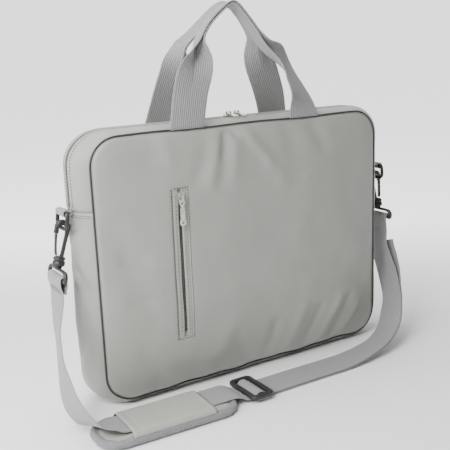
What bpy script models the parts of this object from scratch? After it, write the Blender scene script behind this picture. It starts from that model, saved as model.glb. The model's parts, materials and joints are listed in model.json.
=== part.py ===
"""Slim soft laptop briefcase with two webbing carry handles and a padded shoulder strap.

Frame: +X to the wearer's right, +Y to the back, +Z up, origin on the floor under the middle of the base.
"""

import math

import bmesh
import bpy
from mathutils import Matrix, Vector

# Body: the rounded rectangle where the panels meet the gusset.
WIDTH = 0.377
HEIGHT = 0.285
CORNER = 0.030
SEAM_BOTTOM = 0.0085
HALF_DEPTH = 0.028
BULGE = {"left": 0.016, "right": 0.022, "top": 0.007, "bottom": SEAM_BOTTOM}
SKIN = 0.002
GAP = 0.0003

# Puffed panels.
PANEL_THICKNESS = 0.0035
PANEL_EDGE = HALF_DEPTH + PANEL_THICKNESS - 0.0002
FRONT_PUFF = 0.015
BACK_PUFF = 0.012

# Main zip round the top, down to this height on both sides.
ZIP_END = 0.2187
ZIP_HALF_TAPE = 0.0063
ZIP_SLIT = 0.0004
MOUTH_CUT = 0.0006

# Front pocket.
POCKET_X = -0.0975
POCKET_LOW = 0.066
POCKET_HIGH = 0.236
POCKET_WELT = 0.0204
POCKET_SLIT = 0.005

# Zip sliders and their pullers.
CROWN_REACH = 0.0040
CROWN_WIDTH = 0.0022
PULL_BAR = 0.0010
PULL_EYE = 0.0019
PULL_NECK = 0.0048

# Webbing.
HANDLE_LEAN = math.radians(11.2)
HANDLE_SEAM = 0.0298
HANDLE_RISE = 0.0036
STRAP_WIDTH = 0.038
STRAP_THICKNESS = 0.0014
STRAP_LANE = -0.083

# Side hardware: tab loop, D-ring, snap hook and swivel eye.
WIRE = 0.0021
TAB_WIDTH = 0.0225
TAB_REACH = {"left": 0.0068, "right": 0.0075}
RING_TILT = math.radians(6.0)
RING_DROP = 0.0165
EYE_DROP = 0.0525
HOOK_RADIUS = 5.8
LOOP_RADIUS = 3.7
LOOP_RISE = 0.7
HOOK_TILT = {"left": math.radians(11.0), "right": math.radians(7.0)}

# Shoulder pad.
PAD_CENTRE = Vector((-0.150, -0.0855, 0.0))
PAD_ANGLE = math.radians(-2.0)
PAD_LENGTH = 0.160
PAD_WIDTH = 0.061
PAD_CORNER = 0.026
BINDING = 0.0042
BAND_LENGTH = 0.093

MM = 0.001
SEAM_TOP = SEAM_BOTTOM + HEIGHT
MIDDLE = SEAM_BOTTOM + HEIGHT / 2
SIDES = {"left": -1, "right": 1}


def clear_scene():
    for item in list(bpy.data.objects):
        bpy.data.objects.remove(item, do_unlink=True)


def collection(name):
    group = bpy.data.collections.new(name)
    bpy.context.scene.collection.children.link(group)
    return group


def material(name, colour, roughness, metallic=0.0):
    finish = bpy.data.materials.new(name)
    finish.use_nodes = True
    shader = finish.node_tree.nodes["Principled BSDF"]
    shader.inputs["Base Color"].default_value = (*colour, 1.0)
    shader.inputs["Roughness"].default_value = roughness
    shader.inputs["Metallic"].default_value = metallic
    return finish


clear_scene()
PARTS = collection("laptop_briefcase")
CUTTERS = collection("cutters")


def finishes(name):
    looks = {
        "leather": ((0.40, 0.405, 0.38), 0.55, 0.0),
        "lining": ((0.10, 0.10, 0.10), 0.85, 0.0),
        "piping": ((0.06, 0.065, 0.06), 0.6, 0.0),
        "webbing": ((0.42, 0.42, 0.41), 0.8, 0.0),
        "tape": ((0.55, 0.54, 0.49), 0.8, 0.0),
        "nickel": ((0.75, 0.73, 0.70), 0.25, 1.0),
        "plastic": ((0.02, 0.02, 0.02), 0.4, 0.0),
        "board": ((0.15, 0.15, 0.15), 0.7, 0.0),
        "binding": ((0.30, 0.30, 0.32), 0.85, 0.0),
    }
    return bpy.data.materials.get(name) or material(name, *looks[name])


def add_object(name, mesh, finish, group=PARTS):
    item = bpy.data.objects.new(name, mesh)
    group.objects.link(item)
    if finish:
        item.data.materials.append(finishes(finish))
    return item


def from_bmesh(name, shape, finish, group=PARTS):
    bmesh.ops.recalc_face_normals(shape, faces=shape.faces)
    mesh = bpy.data.meshes.new(name)
    shape.to_mesh(mesh)
    shape.free()
    return add_object(name, mesh, finish, group)


def sheet(name, rows, finish, thickness, keep=None):
    """A grid surface, thickened away from its outer face. keep(row, column) can leave cells open."""
    shape = bmesh.new()
    grid = [[shape.verts.new(point) for point in row] for row in rows]
    for i in range(len(grid) - 1):
        for j in range(len(grid[0]) - 1):
            if keep is None or keep(i, j):
                shape.faces.new((grid[i][j], grid[i + 1][j], grid[i + 1][j + 1], grid[i][j + 1]))
    loose = [vert for vert in shape.verts if not vert.link_faces]
    bmesh.ops.delete(shape, geom=loose, context="VERTS")
    mesh = bpy.data.meshes.new(name)
    shape.to_mesh(mesh)
    shape.free()
    item = add_object(name, mesh, finish)
    solidify = item.modifiers.new("thickness", "SOLIDIFY")
    solidify.thickness = thickness
    solidify.offset = -1.0
    solidify.use_even_offset = True
    return item


def loft(name, rings, finish, group=PARTS, strip=False):
    """A closed solid through sections of as many points each. A strip's two broad faces twist alike."""
    shape = bmesh.new()
    loops = [[shape.verts.new(point) for point in ring] for ring in rings]
    count = len(loops[0])
    for low, high in zip(loops, loops[1:]):
        for i in range(count):
            j = (i + 1) % count
            if not strip:
                shape.faces.new((low[i], low[j], high[j], high[i]))
            elif i < count / 2:
                shape.faces.new((low[i], low[j], high[j]))
                shape.faces.new((low[i], high[j], high[i]))
            else:
                shape.faces.new((low[i], low[j], high[i]))
                shape.faces.new((low[j], high[j], high[i]))
    shape.faces.new(loops[0])
    shape.faces.new(loops[-1])
    return from_bmesh(name, shape, finish, group)


def section(centre, along, across, width, thickness):
    """A strap's rectangular section: across is made square to along."""
    across = (across - across.dot(along) * along).normalized()
    normal = along.cross(across)
    half_w = across * width / 2
    half_t = normal * thickness / 2
    return corners(centre, half_w, half_t)


def corners(centre, half_w, half_t):
    near, far = centre - half_t, centre + half_t
    return [near - half_w, near + half_w, far + half_w, far - half_w]


def tangents(points):
    last = len(points) - 1
    return [(points[min(i + 1, last)] - points[max(i - 1, 0)]).normalized() for i in range(len(points))]


def band(name, points, across, width, thickness, finish, group=PARTS, along=None):
    """A flat strap along points. across, width and thickness are one value or one for each point."""
    count = len(points)
    across = across if isinstance(across, list) else [across] * count
    width = width if isinstance(width, list) else [width] * count
    thickness = thickness if isinstance(thickness, list) else [thickness] * count
    rings = [section(*values) for values in zip(points, along or tangents(points), across, width, thickness)]
    return loft(name, rings, finish, group, strip=True)


def smooth(points, pitch):
    """Points about pitch apart on a Catmull-Rom curve through vectors of any size."""
    curve = []
    last = len(points) - 1
    for i in range(last):
        before, start, end, after = points[max(i - 1, 0)], points[i], points[i + 1], points[min(i + 2, last)]
        steps = max(1, round((end - start).length / pitch))
        for step in range(steps):
            t = step / steps
            bend = 2 * start + (end - before) * t
            bend = bend + (2 * before - 5 * start + 4 * end - after) * t**2
            bend = bend + (3 * start - before - 3 * end + after) * t**3
            curve.append(bend / 2)
    curve.append(points[last])
    return curve


def tube(name, points, radius, finish, cyclic=False):
    curve = bpy.data.curves.new(name, "CURVE")
    curve.dimensions = "3D"
    curve.bevel_depth = radius
    curve.bevel_resolution = 2
    curve.use_fill_caps = True
    spline = curve.splines.new("POLY")
    spline.points.add(len(points) - 1)
    for target, point in zip(spline.points, points):
        target.co = (*point, 1.0)
    spline.use_cyclic_u = cyclic
    return add_object(name, curve, finish)


def to_mesh(item):
    """The curve object as a welded mesh object of the same name, which a Boolean can use."""
    bpy.context.view_layer.update()
    name = item.name
    place = item.matrix_world.copy()
    graph = bpy.context.evaluated_depsgraph_get()
    mesh = bpy.data.meshes.new_from_object(item.evaluated_get(graph))
    bpy.data.objects.remove(item, do_unlink=True)
    shape = bmesh.new()
    shape.from_mesh(mesh)
    bmesh.ops.remove_doubles(shape, verts=shape.verts, dist=0.00001)
    bmesh.ops.recalc_face_normals(shape, faces=shape.faces)
    shape.to_mesh(mesh)
    shape.free()
    solid = bpy.data.objects.new(name, mesh)
    PARTS.objects.link(solid)
    solid.name = name
    solid.matrix_world = place
    return solid


def box(name, low, high, finish=None, group=PARTS):
    low, high = Vector(low), Vector(high)
    shape = bmesh.new()
    bmesh.ops.create_cube(shape, size=1.0)
    bmesh.ops.scale(shape, vec=high - low, verts=shape.verts)
    bmesh.ops.translate(shape, vec=(low + high) / 2, verts=shape.verts)
    return from_bmesh(name, shape, finish, group)


def cylinder(name, centre, axis, radius, length, finish=None, group=PARTS, segments=20):
    shape = bmesh.new()
    turn = Vector((0, 0, 1)).rotation_difference(Vector(axis)).to_matrix().to_4x4()
    place = Matrix.Translation(centre) @ turn
    bmesh.ops.create_cone(
        shape, cap_ends=True, segments=segments, radius1=radius, radius2=radius, depth=length, matrix=place
    )
    return from_bmesh(name, shape, finish, group)


def combine(item, other, operation="DIFFERENCE"):
    """Cuts other out of item, or joins it on. other becomes a hidden helper."""
    for group in list(other.users_collection):
        group.objects.unlink(other)
    CUTTERS.objects.link(other)
    other.hide_render = True
    other.display_type = "WIRE"
    boolean = item.modifiers.new(operation.lower(), "BOOLEAN")
    boolean.operation = operation
    boolean.object = other
    boolean.solver = "EXACT"
    return item


def bevel(item, width, segments=2):
    rounding = item.modifiers.new("rounding", "BEVEL")
    rounding.width = width
    rounding.segments = segments
    rounding.limit_method = "ANGLE"
    rounding.angle_limit = math.radians(40)
    return item


# ---- The body's outline and skin ----


def corner(side, end, start_angle, steps=5):
    """A quarter of the rim, clockwise from start_angle: (point, outward normal) pairs in X and Z."""
    centre = Vector((side * (WIDTH / 2 - CORNER), MIDDLE + end * (HEIGHT / 2 - CORNER)))
    pairs = []
    for step in range(steps + 1):
        angle = math.radians(start_angle - 90 * step / steps)
        normal = Vector((math.cos(angle), math.sin(angle)))
        pairs.append((centre + normal * CORNER, normal))
    return pairs


def straight(start, end, steps, normal):
    start, end = Vector(start), Vector(end)
    return [(start.lerp(end, step / steps), Vector(normal)) for step in range(1, steps)]


def lower_rim(top):
    """Down the right side, along the bottom and up the left side."""
    x, low, flat = WIDTH / 2, SEAM_BOTTOM, WIDTH / 2 - CORNER
    rim = [(Vector((x, top)), Vector((1, 0)))]
    rim += straight((x, top), (x, low + CORNER), 3, (1, 0))
    rim += corner(1, -1, 0)
    rim += straight((flat, low), (-flat, low), 4, (0, -1))
    rim += corner(-1, -1, -90)
    rim += straight((-x, low + CORNER), (-x, top), 3, (-1, 0))
    return rim + [(Vector((-x, top)), Vector((-1, 0)))]


def upper_rim(bottom):
    """Up the left side, along the top and down the right side."""
    x, flat = WIDTH / 2, WIDTH / 2 - CORNER
    rim = [(Vector((-x, bottom)), Vector((-1, 0)))]
    rim += corner(-1, 1, 180)
    rim += straight((-flat, SEAM_TOP), (flat, SEAM_TOP), 4, (0, 1))
    rim += corner(1, 1, 90)
    return rim + [(Vector((x, bottom)), Vector((1, 0)))]


def skin_point(place, normal, y, sink=0.0):
    """A point on the gusset, which bulges between its two seams and lies flat under the base."""
    t = y / HALF_DEPTH
    crown = max(0.0, 1 - t * t)
    round_bulge = crown**0.8
    flat_bulge = min(1.0, 2.4 * crown)
    sideways = BULGE["right"] if normal.x > 0 else BULGE["left"]
    height = sideways * normal.x**2 * round_bulge
    if normal.y > 0:
        height += BULGE["top"] * normal.y**2 * round_bulge
    else:
        height += BULGE["bottom"] * normal.y**2 * flat_bulge
    reach = place + normal * (height - sink)
    return Vector((reach.x, y, reach.y))


def gusset(name, rim, y_low, y_high, steps, finish, thickness=SKIN, sink=0.0):
    widths = [y_low + (y_high - y_low) * step / steps for step in range(steps + 1)]
    rows = [[skin_point(place, normal, y, sink) for y in widths] for place, normal in rim]
    return sheet(name, rows, finish, thickness)


# ---- The puffed panels ----


def puff(x, z):
    u = min(1.0, abs(x) / (WIDTH / 2))
    v = min(1.0, abs(z - MIDDLE) / (HEIGHT / 2))
    return (1 - u**3.5) * (1 - v**5)


def front_y(x, z):
    return -PANEL_EDGE - FRONT_PUFF * puff(x, z)


def back_y(x, z):
    return PANEL_EDGE + BACK_PUFF * puff(x, z)


def panel(name, surface, outward):
    """A padded panel: rings of the rim's outline drawn in to the middle, on the surface's depth."""
    rim = lower_rim(ZIP_END) + upper_rim(ZIP_END + 0.02)
    shape = bmesh.new()
    loops = []
    for ring in (0.25, 0.5, 0.7, 0.85, 0.94, 1.0):
        loop = []
        for place, _ in rim:
            x, z = place.x * ring, MIDDLE + (place.y - MIDDLE) * ring
            loop.append(shape.verts.new((x, surface(x, z), z)))
        loops.append(loop)
    count = len(rim)
    for inner, outer in zip(loops, loops[1:]):
        for i in range(count):
            j = (i + 1) % count
            shape.faces.new((inner[i], outer[i], outer[j], inner[j]))
    shape.faces.new(reversed(loops[0]))
    bmesh.ops.recalc_face_normals(shape, faces=shape.faces)
    shape.faces.ensure_lookup_table()
    if shape.faces[0].normal.y * outward < 0:
        bmesh.ops.reverse_faces(shape, faces=shape.faces)
    mesh = bpy.data.meshes.new(name)
    shape.to_mesh(mesh)
    shape.free()
    item = add_object(name, mesh, "leather")
    solidify = item.modifiers.new("thickness", "SOLIDIFY")
    solidify.thickness = PANEL_THICKNESS - GAP
    solidify.offset = -1.0
    return item


def piping(name, rim, y, cyclic):
    reach = 0.0019
    points = [(p.x + n.x * reach, y, p.y + n.y * reach) for p, n in rim]
    return tube(name, points, 0.0013, "piping", cyclic)


def make_shell():
    front = panel("front_panel", front_y, -1)
    slot = box(
        "pocket_slot",
        (POCKET_X - POCKET_WELT / 2 - GAP, -0.06, POCKET_LOW),
        (POCKET_X + POCKET_WELT / 2 + GAP, -0.02, POCKET_HIGH),
        group=CUTTERS,
    )
    combine(front, slot)
    above = box("above_mouth", (-0.25, 0.0, ZIP_END - MOUTH_CUT), (0.25, 0.08, 0.4), group=CUTTERS)
    below = box("below_mouth", (-0.25, 0.0, -0.05), (0.25, 0.08, ZIP_END), group=CUTTERS)
    combine(panel("back_panel_lower", back_y, 1), above)
    combine(panel("back_panel_upper", back_y, 1), below)

    low, high = lower_rim(ZIP_END - MOUTH_CUT), upper_rim(ZIP_END)
    gusset("lower_gusset", low, -HALF_DEPTH, HALF_DEPTH, 8, "leather")
    strip_edge = ZIP_HALF_TAPE + 2 * GAP
    gusset("front_zip_strip", high, -HALF_DEPTH, -strip_edge, 3, "leather")
    gusset("back_zip_strip", high, strip_edge, HALF_DEPTH, 3, "leather")
    gusset("zip_tape_front", high, -ZIP_HALF_TAPE, -ZIP_SLIT, 1, "tape", 0.0012, 0.0004)
    gusset("zip_tape_back", high, ZIP_SLIT, ZIP_HALF_TAPE, 1, "tape", 0.0012, 0.0004)

    piping("front_piping", low + high, -HANDLE_SEAM, True)
    piping("back_piping_lower", low, HANDLE_SEAM, False)
    piping("back_piping_upper", high, HANDLE_SEAM, False)


# ---- Inside ----


def make_inside():
    board = box("base_board", (-0.156, -0.0165, SKIN + 0.0004), (0.156, 0.0165, SKIN + 0.0028), "board")
    bevel(board, 0.0008, 1)
    divider = box("laptop_divider", (-0.172, 0.006, 0.0055), (0.172, 0.011, 0.2055), "lining")
    bevel(divider, 0.0015, 2)
    points = [Vector((0, y, 0.2068)) for y in (0.0385, 0.024, 0.010, -0.004)]
    band("divider_strap", points, Vector((1, 0, 0)), 0.038, 0.0016, "webbing")
    bevel(box("pocket_lining", (-0.128, -0.0205, 0.03), (0.140, -0.0195, 0.27), "lining"), 0.0002, 1)


# ---- Front pocket ----


def front_patch(name, columns, rows, sink, thickness, finish, keep=None):
    """A sheet that follows the front panel, sink behind its outer face."""
    grid = [[Vector((x, front_y(x, z) + sink, z)) for x in columns] for z in reversed(rows)]
    return sheet(name, grid, finish, thickness, keep)


def spread(low, high, steps):
    return [low + (high - low) * step / steps for step in range(steps + 1)]


def pull_tab(name, pivot, length, width, thickness, hole, frame):
    """A zip puller hanging from pivot along frame's -Z, flat to its Y, with a hole low down."""
    half = width / 2
    neck = PULL_NECK / 2
    outline = [
        (-neck, PULL_BAR / 2),
        (-neck, -length * 0.22),
        (-half, -length * 0.42),
        (-half, -length + half * 0.5),
        (-half * 0.6, -length),
        (half * 0.6, -length),
        (half, -length + half * 0.5),
        (half, -length * 0.42),
        (neck, -length * 0.22),
        (neck, PULL_BAR / 2),
    ]
    place = Matrix.Translation(pivot) @ frame
    rings = [[place @ Vector((x, y, z)) for x, z in outline] for y in (-thickness / 2, thickness / 2)]
    tab = loft(name, rings, "nickel")
    eye = [(-1, -1), (-1, 1), (1, 1), (1, -1)]
    low, high = -PULL_BAR / 2 - PULL_EYE, -PULL_BAR / 2
    corners = [(side * (PULL_NECK / 2 - 0.0009), low if end < 0 else high) for side, end in eye]
    slot = [[place @ Vector((x, y, z)) for x, z in corners] for y in (-0.003, 0.003)]
    combine(tab, loft(name + "_eye", slot, None, CUTTERS))
    centre = place @ Vector((0, 0, -length + half * 1.15))
    through = frame @ Vector((0, 1, 0))
    combine(tab, cylinder(name + "_hole", centre, through, hole, 0.01, group=CUTTERS, segments=12))
    return tab


def slider_body(name, centre, frame, length, width, height, crown_turn=0.0):
    """A zip slider with a raised crown that the puller hangs on. Its travel is frame's Z."""
    rings = []
    for z, scale in ((-0.5, 0.72), (-0.1, 0.95), (0.3, 1.0), (0.5, 0.82)):
        w = width * scale / 2
        outline = ((-w, 0), (w, 0), (w * 0.85, -height), (-w * 0.85, -height))
        rings.append([Vector((x, y, z * length)) for x, y in outline])
    place = Matrix.Translation(centre) @ frame
    body = loft(name, [[place @ point for point in ring] for ring in rings], "nickel")
    profile = ((0.6, -1), (1.6, -1), (1.9, -0.84), (1.9, 0.84), (1.6, 1), (0.6, 1))
    turn = place @ Matrix.Rotation(crown_turn, 4, "Y")
    crown = [turn @ Vector((0, -up * height, z * CROWN_REACH)) for up, z in profile]
    side = turn.to_3x3() @ Vector((1, 0, 0))
    arch = band(name + "_crown", crown, side, CROWN_WIDTH, 0.0009, None, CUTTERS)
    return combine(body, arch, "UNION")


def make_pocket():
    half, slit = POCKET_WELT / 2, POCKET_SLIT / 2
    columns = [POCKET_X + offset for offset in (-half, -slit, slit, half)]
    rows = spread(POCKET_LOW + GAP, POCKET_HIGH - GAP, 10)
    front_patch(
        "pocket_welt", columns, rows, 0.0003, 0.0014, "leather", lambda i, j: not (j == 1 and 0 < i < len(rows) - 2)
    )
    tape_rows = spread(POCKET_LOW + 0.002, POCKET_HIGH - 0.002, 6)
    for side, sign in SIDES.items():
        edges = sorted((POCKET_X + sign * GAP / 2, POCKET_X + sign * 0.0085))
        front_patch("pocket_zip_tape_" + side, edges, tape_rows, 0.0022, 0.0009, "tape")
    height = 0.0026
    slider = Vector((POCKET_X, front_y(POCKET_X, MIDDLE) - 0.0004, POCKET_HIGH - 0.0105))
    upright = Matrix.Identity(4)
    slider_body("pocket_slider", slider, upright, 0.011, 0.0085, height)
    pivot = slider - Vector((0, 1.37 * height, CROWN_REACH - 0.0014))
    pull_tab("pocket_puller", pivot, 0.028, 0.0072, 0.0011, 0.0018, upright)


# ---- Main zip sliders ----


def make_main_sliders():
    """Two sliders that meet over the middle of the top, with their pullers drooping over the front."""
    crest = SEAM_TOP + BULGE["top"] + 0.0003
    height = 0.0026
    for side, sign in SIDES.items():
        along = Matrix(((0, 0, sign, 0), (sign, 0, 0, 0), (0, -1, 0, 0), (0, 0, 0, 1)))
        centre = Vector((sign * 0.0055, 0, crest))
        slider_body(side + "_zip_slider", centre, along, 0.010, 0.0095, height, math.pi / 2)
        pivot = centre + Vector((0, 0.0014 - CROWN_REACH, 1.37 * height))
        droop = Matrix.Rotation(math.radians(-78.0), 4, "X")
        pull_tab(side + "_zip_puller", pivot, 0.016, 0.0060, 0.0011, 0.0014, droop)


# ---- Carry handles ----


HANDLE_LEG = (
    # along X, up the handle's plane, width in the plane, depth, the depth's middle forward, twist in degrees
    (-76.5, 0.0, 42.0, 2.0, 0.0, 0),
    (-73.5, 10.0, 42.0, 2.0, 0.0, 0),
    (-70.5, 21.0, 42.0, 2.0, 0.0, 0),
    (-65.5, 38.0, 42.0, 2.0, 0.0, 0),
    (-60.5, 51.0, 41.0, 2.8, 0.2, 0),
    (-56.5, 62.0, 36.0, 5.0, 1.2, 0),
    (-54.0, 70.5, 28.0, 9.0, 2.6, 0),
    (-52.5, 79.0, 16.0, 14.5, 4.0, 0),
)
HANDLE_GRIP = (
    (-50.5, 87.5, 5.8, 18.0, 4.7, 0),
    (-45.0, 97.0, 4.6, 18.0, 4.7, 0),
    (-34.0, 108.8, 4.6, 18.0, 4.7, 0),
    (-18.0, 121.0, 4.6, 18.0, 4.7, 0),
    (-6.5, 127.2, 4.6, 18.0, 4.7, 0),
    (0.5, 125.2, 4.6, 18.0, 4.7, 0),
    (7.0, 117.6, 4.6, 18.0, 4.7, 0),
    (14.3, 108.0, 4.6, 18.0, 4.7, 0),
    (21.2, 98.0, 4.6, 18.0, 4.7, 0),
    (27.8, 88.8, 5.8, 18.0, 4.7, 0),
)
HANDLE_FAR_LEG = (
    (34.5, 80.5, 9.0, 17.0, 4.5, 4),
    (42.0, 73.5, 16.0, 14.5, 4.0, 16),
    (50.0, 66.5, 27.0, 9.0, 2.6, 31),
    (57.5, 58.5, 36.0, 5.0, 1.2, 38),
    (64.4, 49.5, 40.0, 2.8, 0.2, 38),
    (70.0, 40.0, 40.0, 2.0, 0.0, 36),
    (76.0, 26.5, 40.0, 2.0, 0.0, 28),
    (79.0, 12.0, 40.0, 2.0, 0.0, 12),
    (79.5, 0.0, 40.0, 2.0, 0.0, 0),
)
HANDLE_BACK = (
    (-51.0, 84.0, 10.0, 16.5, 4.4, 0),
    (-46.5, 89.5, 5.8, 18.0, 4.7, 0),
    (-38.0, 98.0, 4.6, 18.0, 4.7, 0),
    (-27.0, 108.0, 4.6, 18.0, 4.7, 0),
    (-15.5, 118.5, 4.6, 18.0, 4.7, 0),
    (-6.0, 125.6, 4.6, 18.0, 4.7, 0),
    (3.0, 128.4, 4.6, 18.0, 4.7, 0),
    (11.5, 126.0, 4.6, 18.0, 4.7, 0),
    (20.0, 118.8, 4.6, 18.0, 4.7, 0),
    (28.5, 109.0, 4.6, 18.0, 4.7, 0),
    (36.5, 98.5, 4.6, 18.0, 4.7, 0),
    (42.8, 89.5, 5.8, 18.0, 4.7, 0),
    (46.5, 81.5, 16.0, 14.5, 4.0, 0),
    (49.5, 73.5, 28.0, 9.0, 2.6, 0),
    (52.8, 65.0, 36.0, 5.0, 1.2, 0),
    (57.0, 54.0, 41.0, 2.8, 0.2, 0),
    (63.5, 39.0, 42.0, 2.0, 0.0, 0),
    (70.5, 21.5, 42.0, 2.0, 0.0, 0),
    (74.0, 10.0, 42.0, 2.0, 0.0, 0),
    (76.5, 0.0, 42.0, 2.0, 0.0, 0),
)


def make_handle(name, back):
    """Webbing sewn along the top seam, folded in half with its width turned to the hand at its grip."""
    stations = HANDLE_LEG + (HANDLE_BACK if back > 0 else HANDLE_GRIP + HANDLE_FAR_LEG)
    base = Vector((0, back * HANDLE_SEAM, SEAM_TOP + HANDLE_RISE))
    lean = Vector((0, -back * math.sin(HANDLE_LEAN), math.cos(HANDLE_LEAN)))
    inward = Vector((0, -back * math.cos(HANDLE_LEAN), -math.sin(HANDLE_LEAN)))
    points = [base + (Vector((station[0], 0, 0)) + lean * station[1]) * MM for station in stations]
    along = tangents(points)
    along[0] = lean
    along[-1] = -lean
    rings = []
    for point, direction, station in zip(points, along, stations):
        width, depth, forward, twist = station[2:]
        turn = Matrix.Rotation(math.radians(back * twist), 3, direction)
        half_w = turn @ inward.cross(direction).normalized() * width * MM / 2
        half_t = turn @ inward * depth * MM / 2
        centre = point - inward * forward * MM
        rings.append(corners(centre, half_w, half_t))
    return loft(name, rings, "webbing")


# ---- Side hardware ----


def bar_centre(side):
    """The D-ring's straight bar, inside the tab's loop."""
    sign = SIDES[side]
    return Vector((sign * (WIDTH / 2 + BULGE[side] + TAB_REACH[side]), 0, ZIP_END))


def ring_frame(side):
    """The D-ring's own frame: origin on its straight bar, leaning out over the bag's side."""
    return Matrix.Translation(bar_centre(side)) @ Matrix.Rotation(-SIDES[side] * RING_TILT, 4, "Y")


def hook_frame(side):
    """The hook's own frame: origin where it hangs on the ring, +Z up its length, +X outward times the side."""
    origin = ring_frame(side) @ Vector((0, 0, -RING_DROP))
    return Matrix.Translation(origin) @ Matrix.Rotation(-SIDES[side] * HOOK_TILT[side], 4, "Y")


def make_tab(side):
    sign, centre = SIDES[side], bar_centre(side)
    loop = [(-6.0, 1.0), (-4.0, 1.6), (-2.2, 2.7), (0, 3.4), (2.4, 2.4), (3.4, 0)]
    loop += [(out, -up) for out, up in reversed(loop[:-1])]
    points = [centre + Vector((sign * out, 0, up)) * MM for out, up in loop]
    band(side + "_tab", points, Vector((0, 1, 0)), TAB_WIDTH, 0.0014, "webbing")


def make_ring(side):
    frame = ring_frame(side)
    half = [(0, 0), (11.5, 0), (13.2, -0.7), (13.9, -2.4), (13.9, -10.5), (12.8, -13.4), (7.5, -16.2), (0, -16.5)]
    outline = half + [(-y, z) for y, z in reversed(half[1:-1])]
    points = [frame @ (Vector((0, y, z)) * MM) for y, z in outline]
    tube(side + "_d_ring", points, WIRE, "plastic", cyclic=True)


def make_hook(side):
    """A snap hook: spine, round top and nose in one piece with the collar that the eye turns in."""
    sign, frame = SIDES[side], hook_frame(side)
    path = [(-1.5, 33), (-3.2, 24), (-4.9, 14), (-HOOK_RADIUS, 5)]
    turns = [math.pi * step / 8 for step in range(9)]
    path += [(-HOOK_RADIUS * math.cos(turn), -HOOK_RADIUS * math.sin(turn)) for turn in turns]
    path.append((HOOK_RADIUS, 5.3))
    points = [frame @ (Vector((sign * out, 0, -down)) * MM) for out, down in path]
    hook = band(side + "_snap_hook", points, Vector((0, 1, 0)), 0.0056, 0.0038, "plastic")
    axis = frame.to_3x3() @ Vector((0, 0, 1))
    collar_centre = frame @ Vector((0, 0, -35 * MM))
    combine(hook, cylinder(side + "_collar", collar_centre, axis, 0.0064, 0.010, group=CUTTERS), "UNION")

    gate_path = [(4.3, 29.4), (5.2, 20), (5.8, 13), (5.8, 5.8)]
    points = [frame @ (Vector((sign * out, 0, -down)) * MM) for out, down in gate_path]
    band(side + "_gate", points, Vector((0, 1, 0)), 0.0046, 0.0024, "plastic")


def make_eye(side):
    """The swivel eye that the strap's end is sewn round: a wide closed loop under a short stem."""
    frame = hook_frame(side)
    half = [(0, 43.2), (17.5, 43.4), (21.6, 44.8), (23.2, 47.8), (22.9, 50.8), (21.2, 52.5), (0, 52.5)]
    outline = half + [(-y, down) for y, down in reversed(half[1:-1])]
    points = [Vector((0, y, -down)) * MM for y, down in outline]
    loop = tube(side + "_swivel_eye", points, 0.0019, "plastic", cyclic=True)
    loop.matrix_world = frame
    eye = to_mesh(loop)
    axis = frame.to_3x3() @ Vector((0, 0, 1))
    stem = cylinder(side + "_stem", frame @ Vector((0, 0, -42.0 * MM)), axis, 0.0040, 0.0034, group=CUTTERS)
    combine(eye, stem, "UNION")


# ---- Shoulder strap ----


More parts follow.
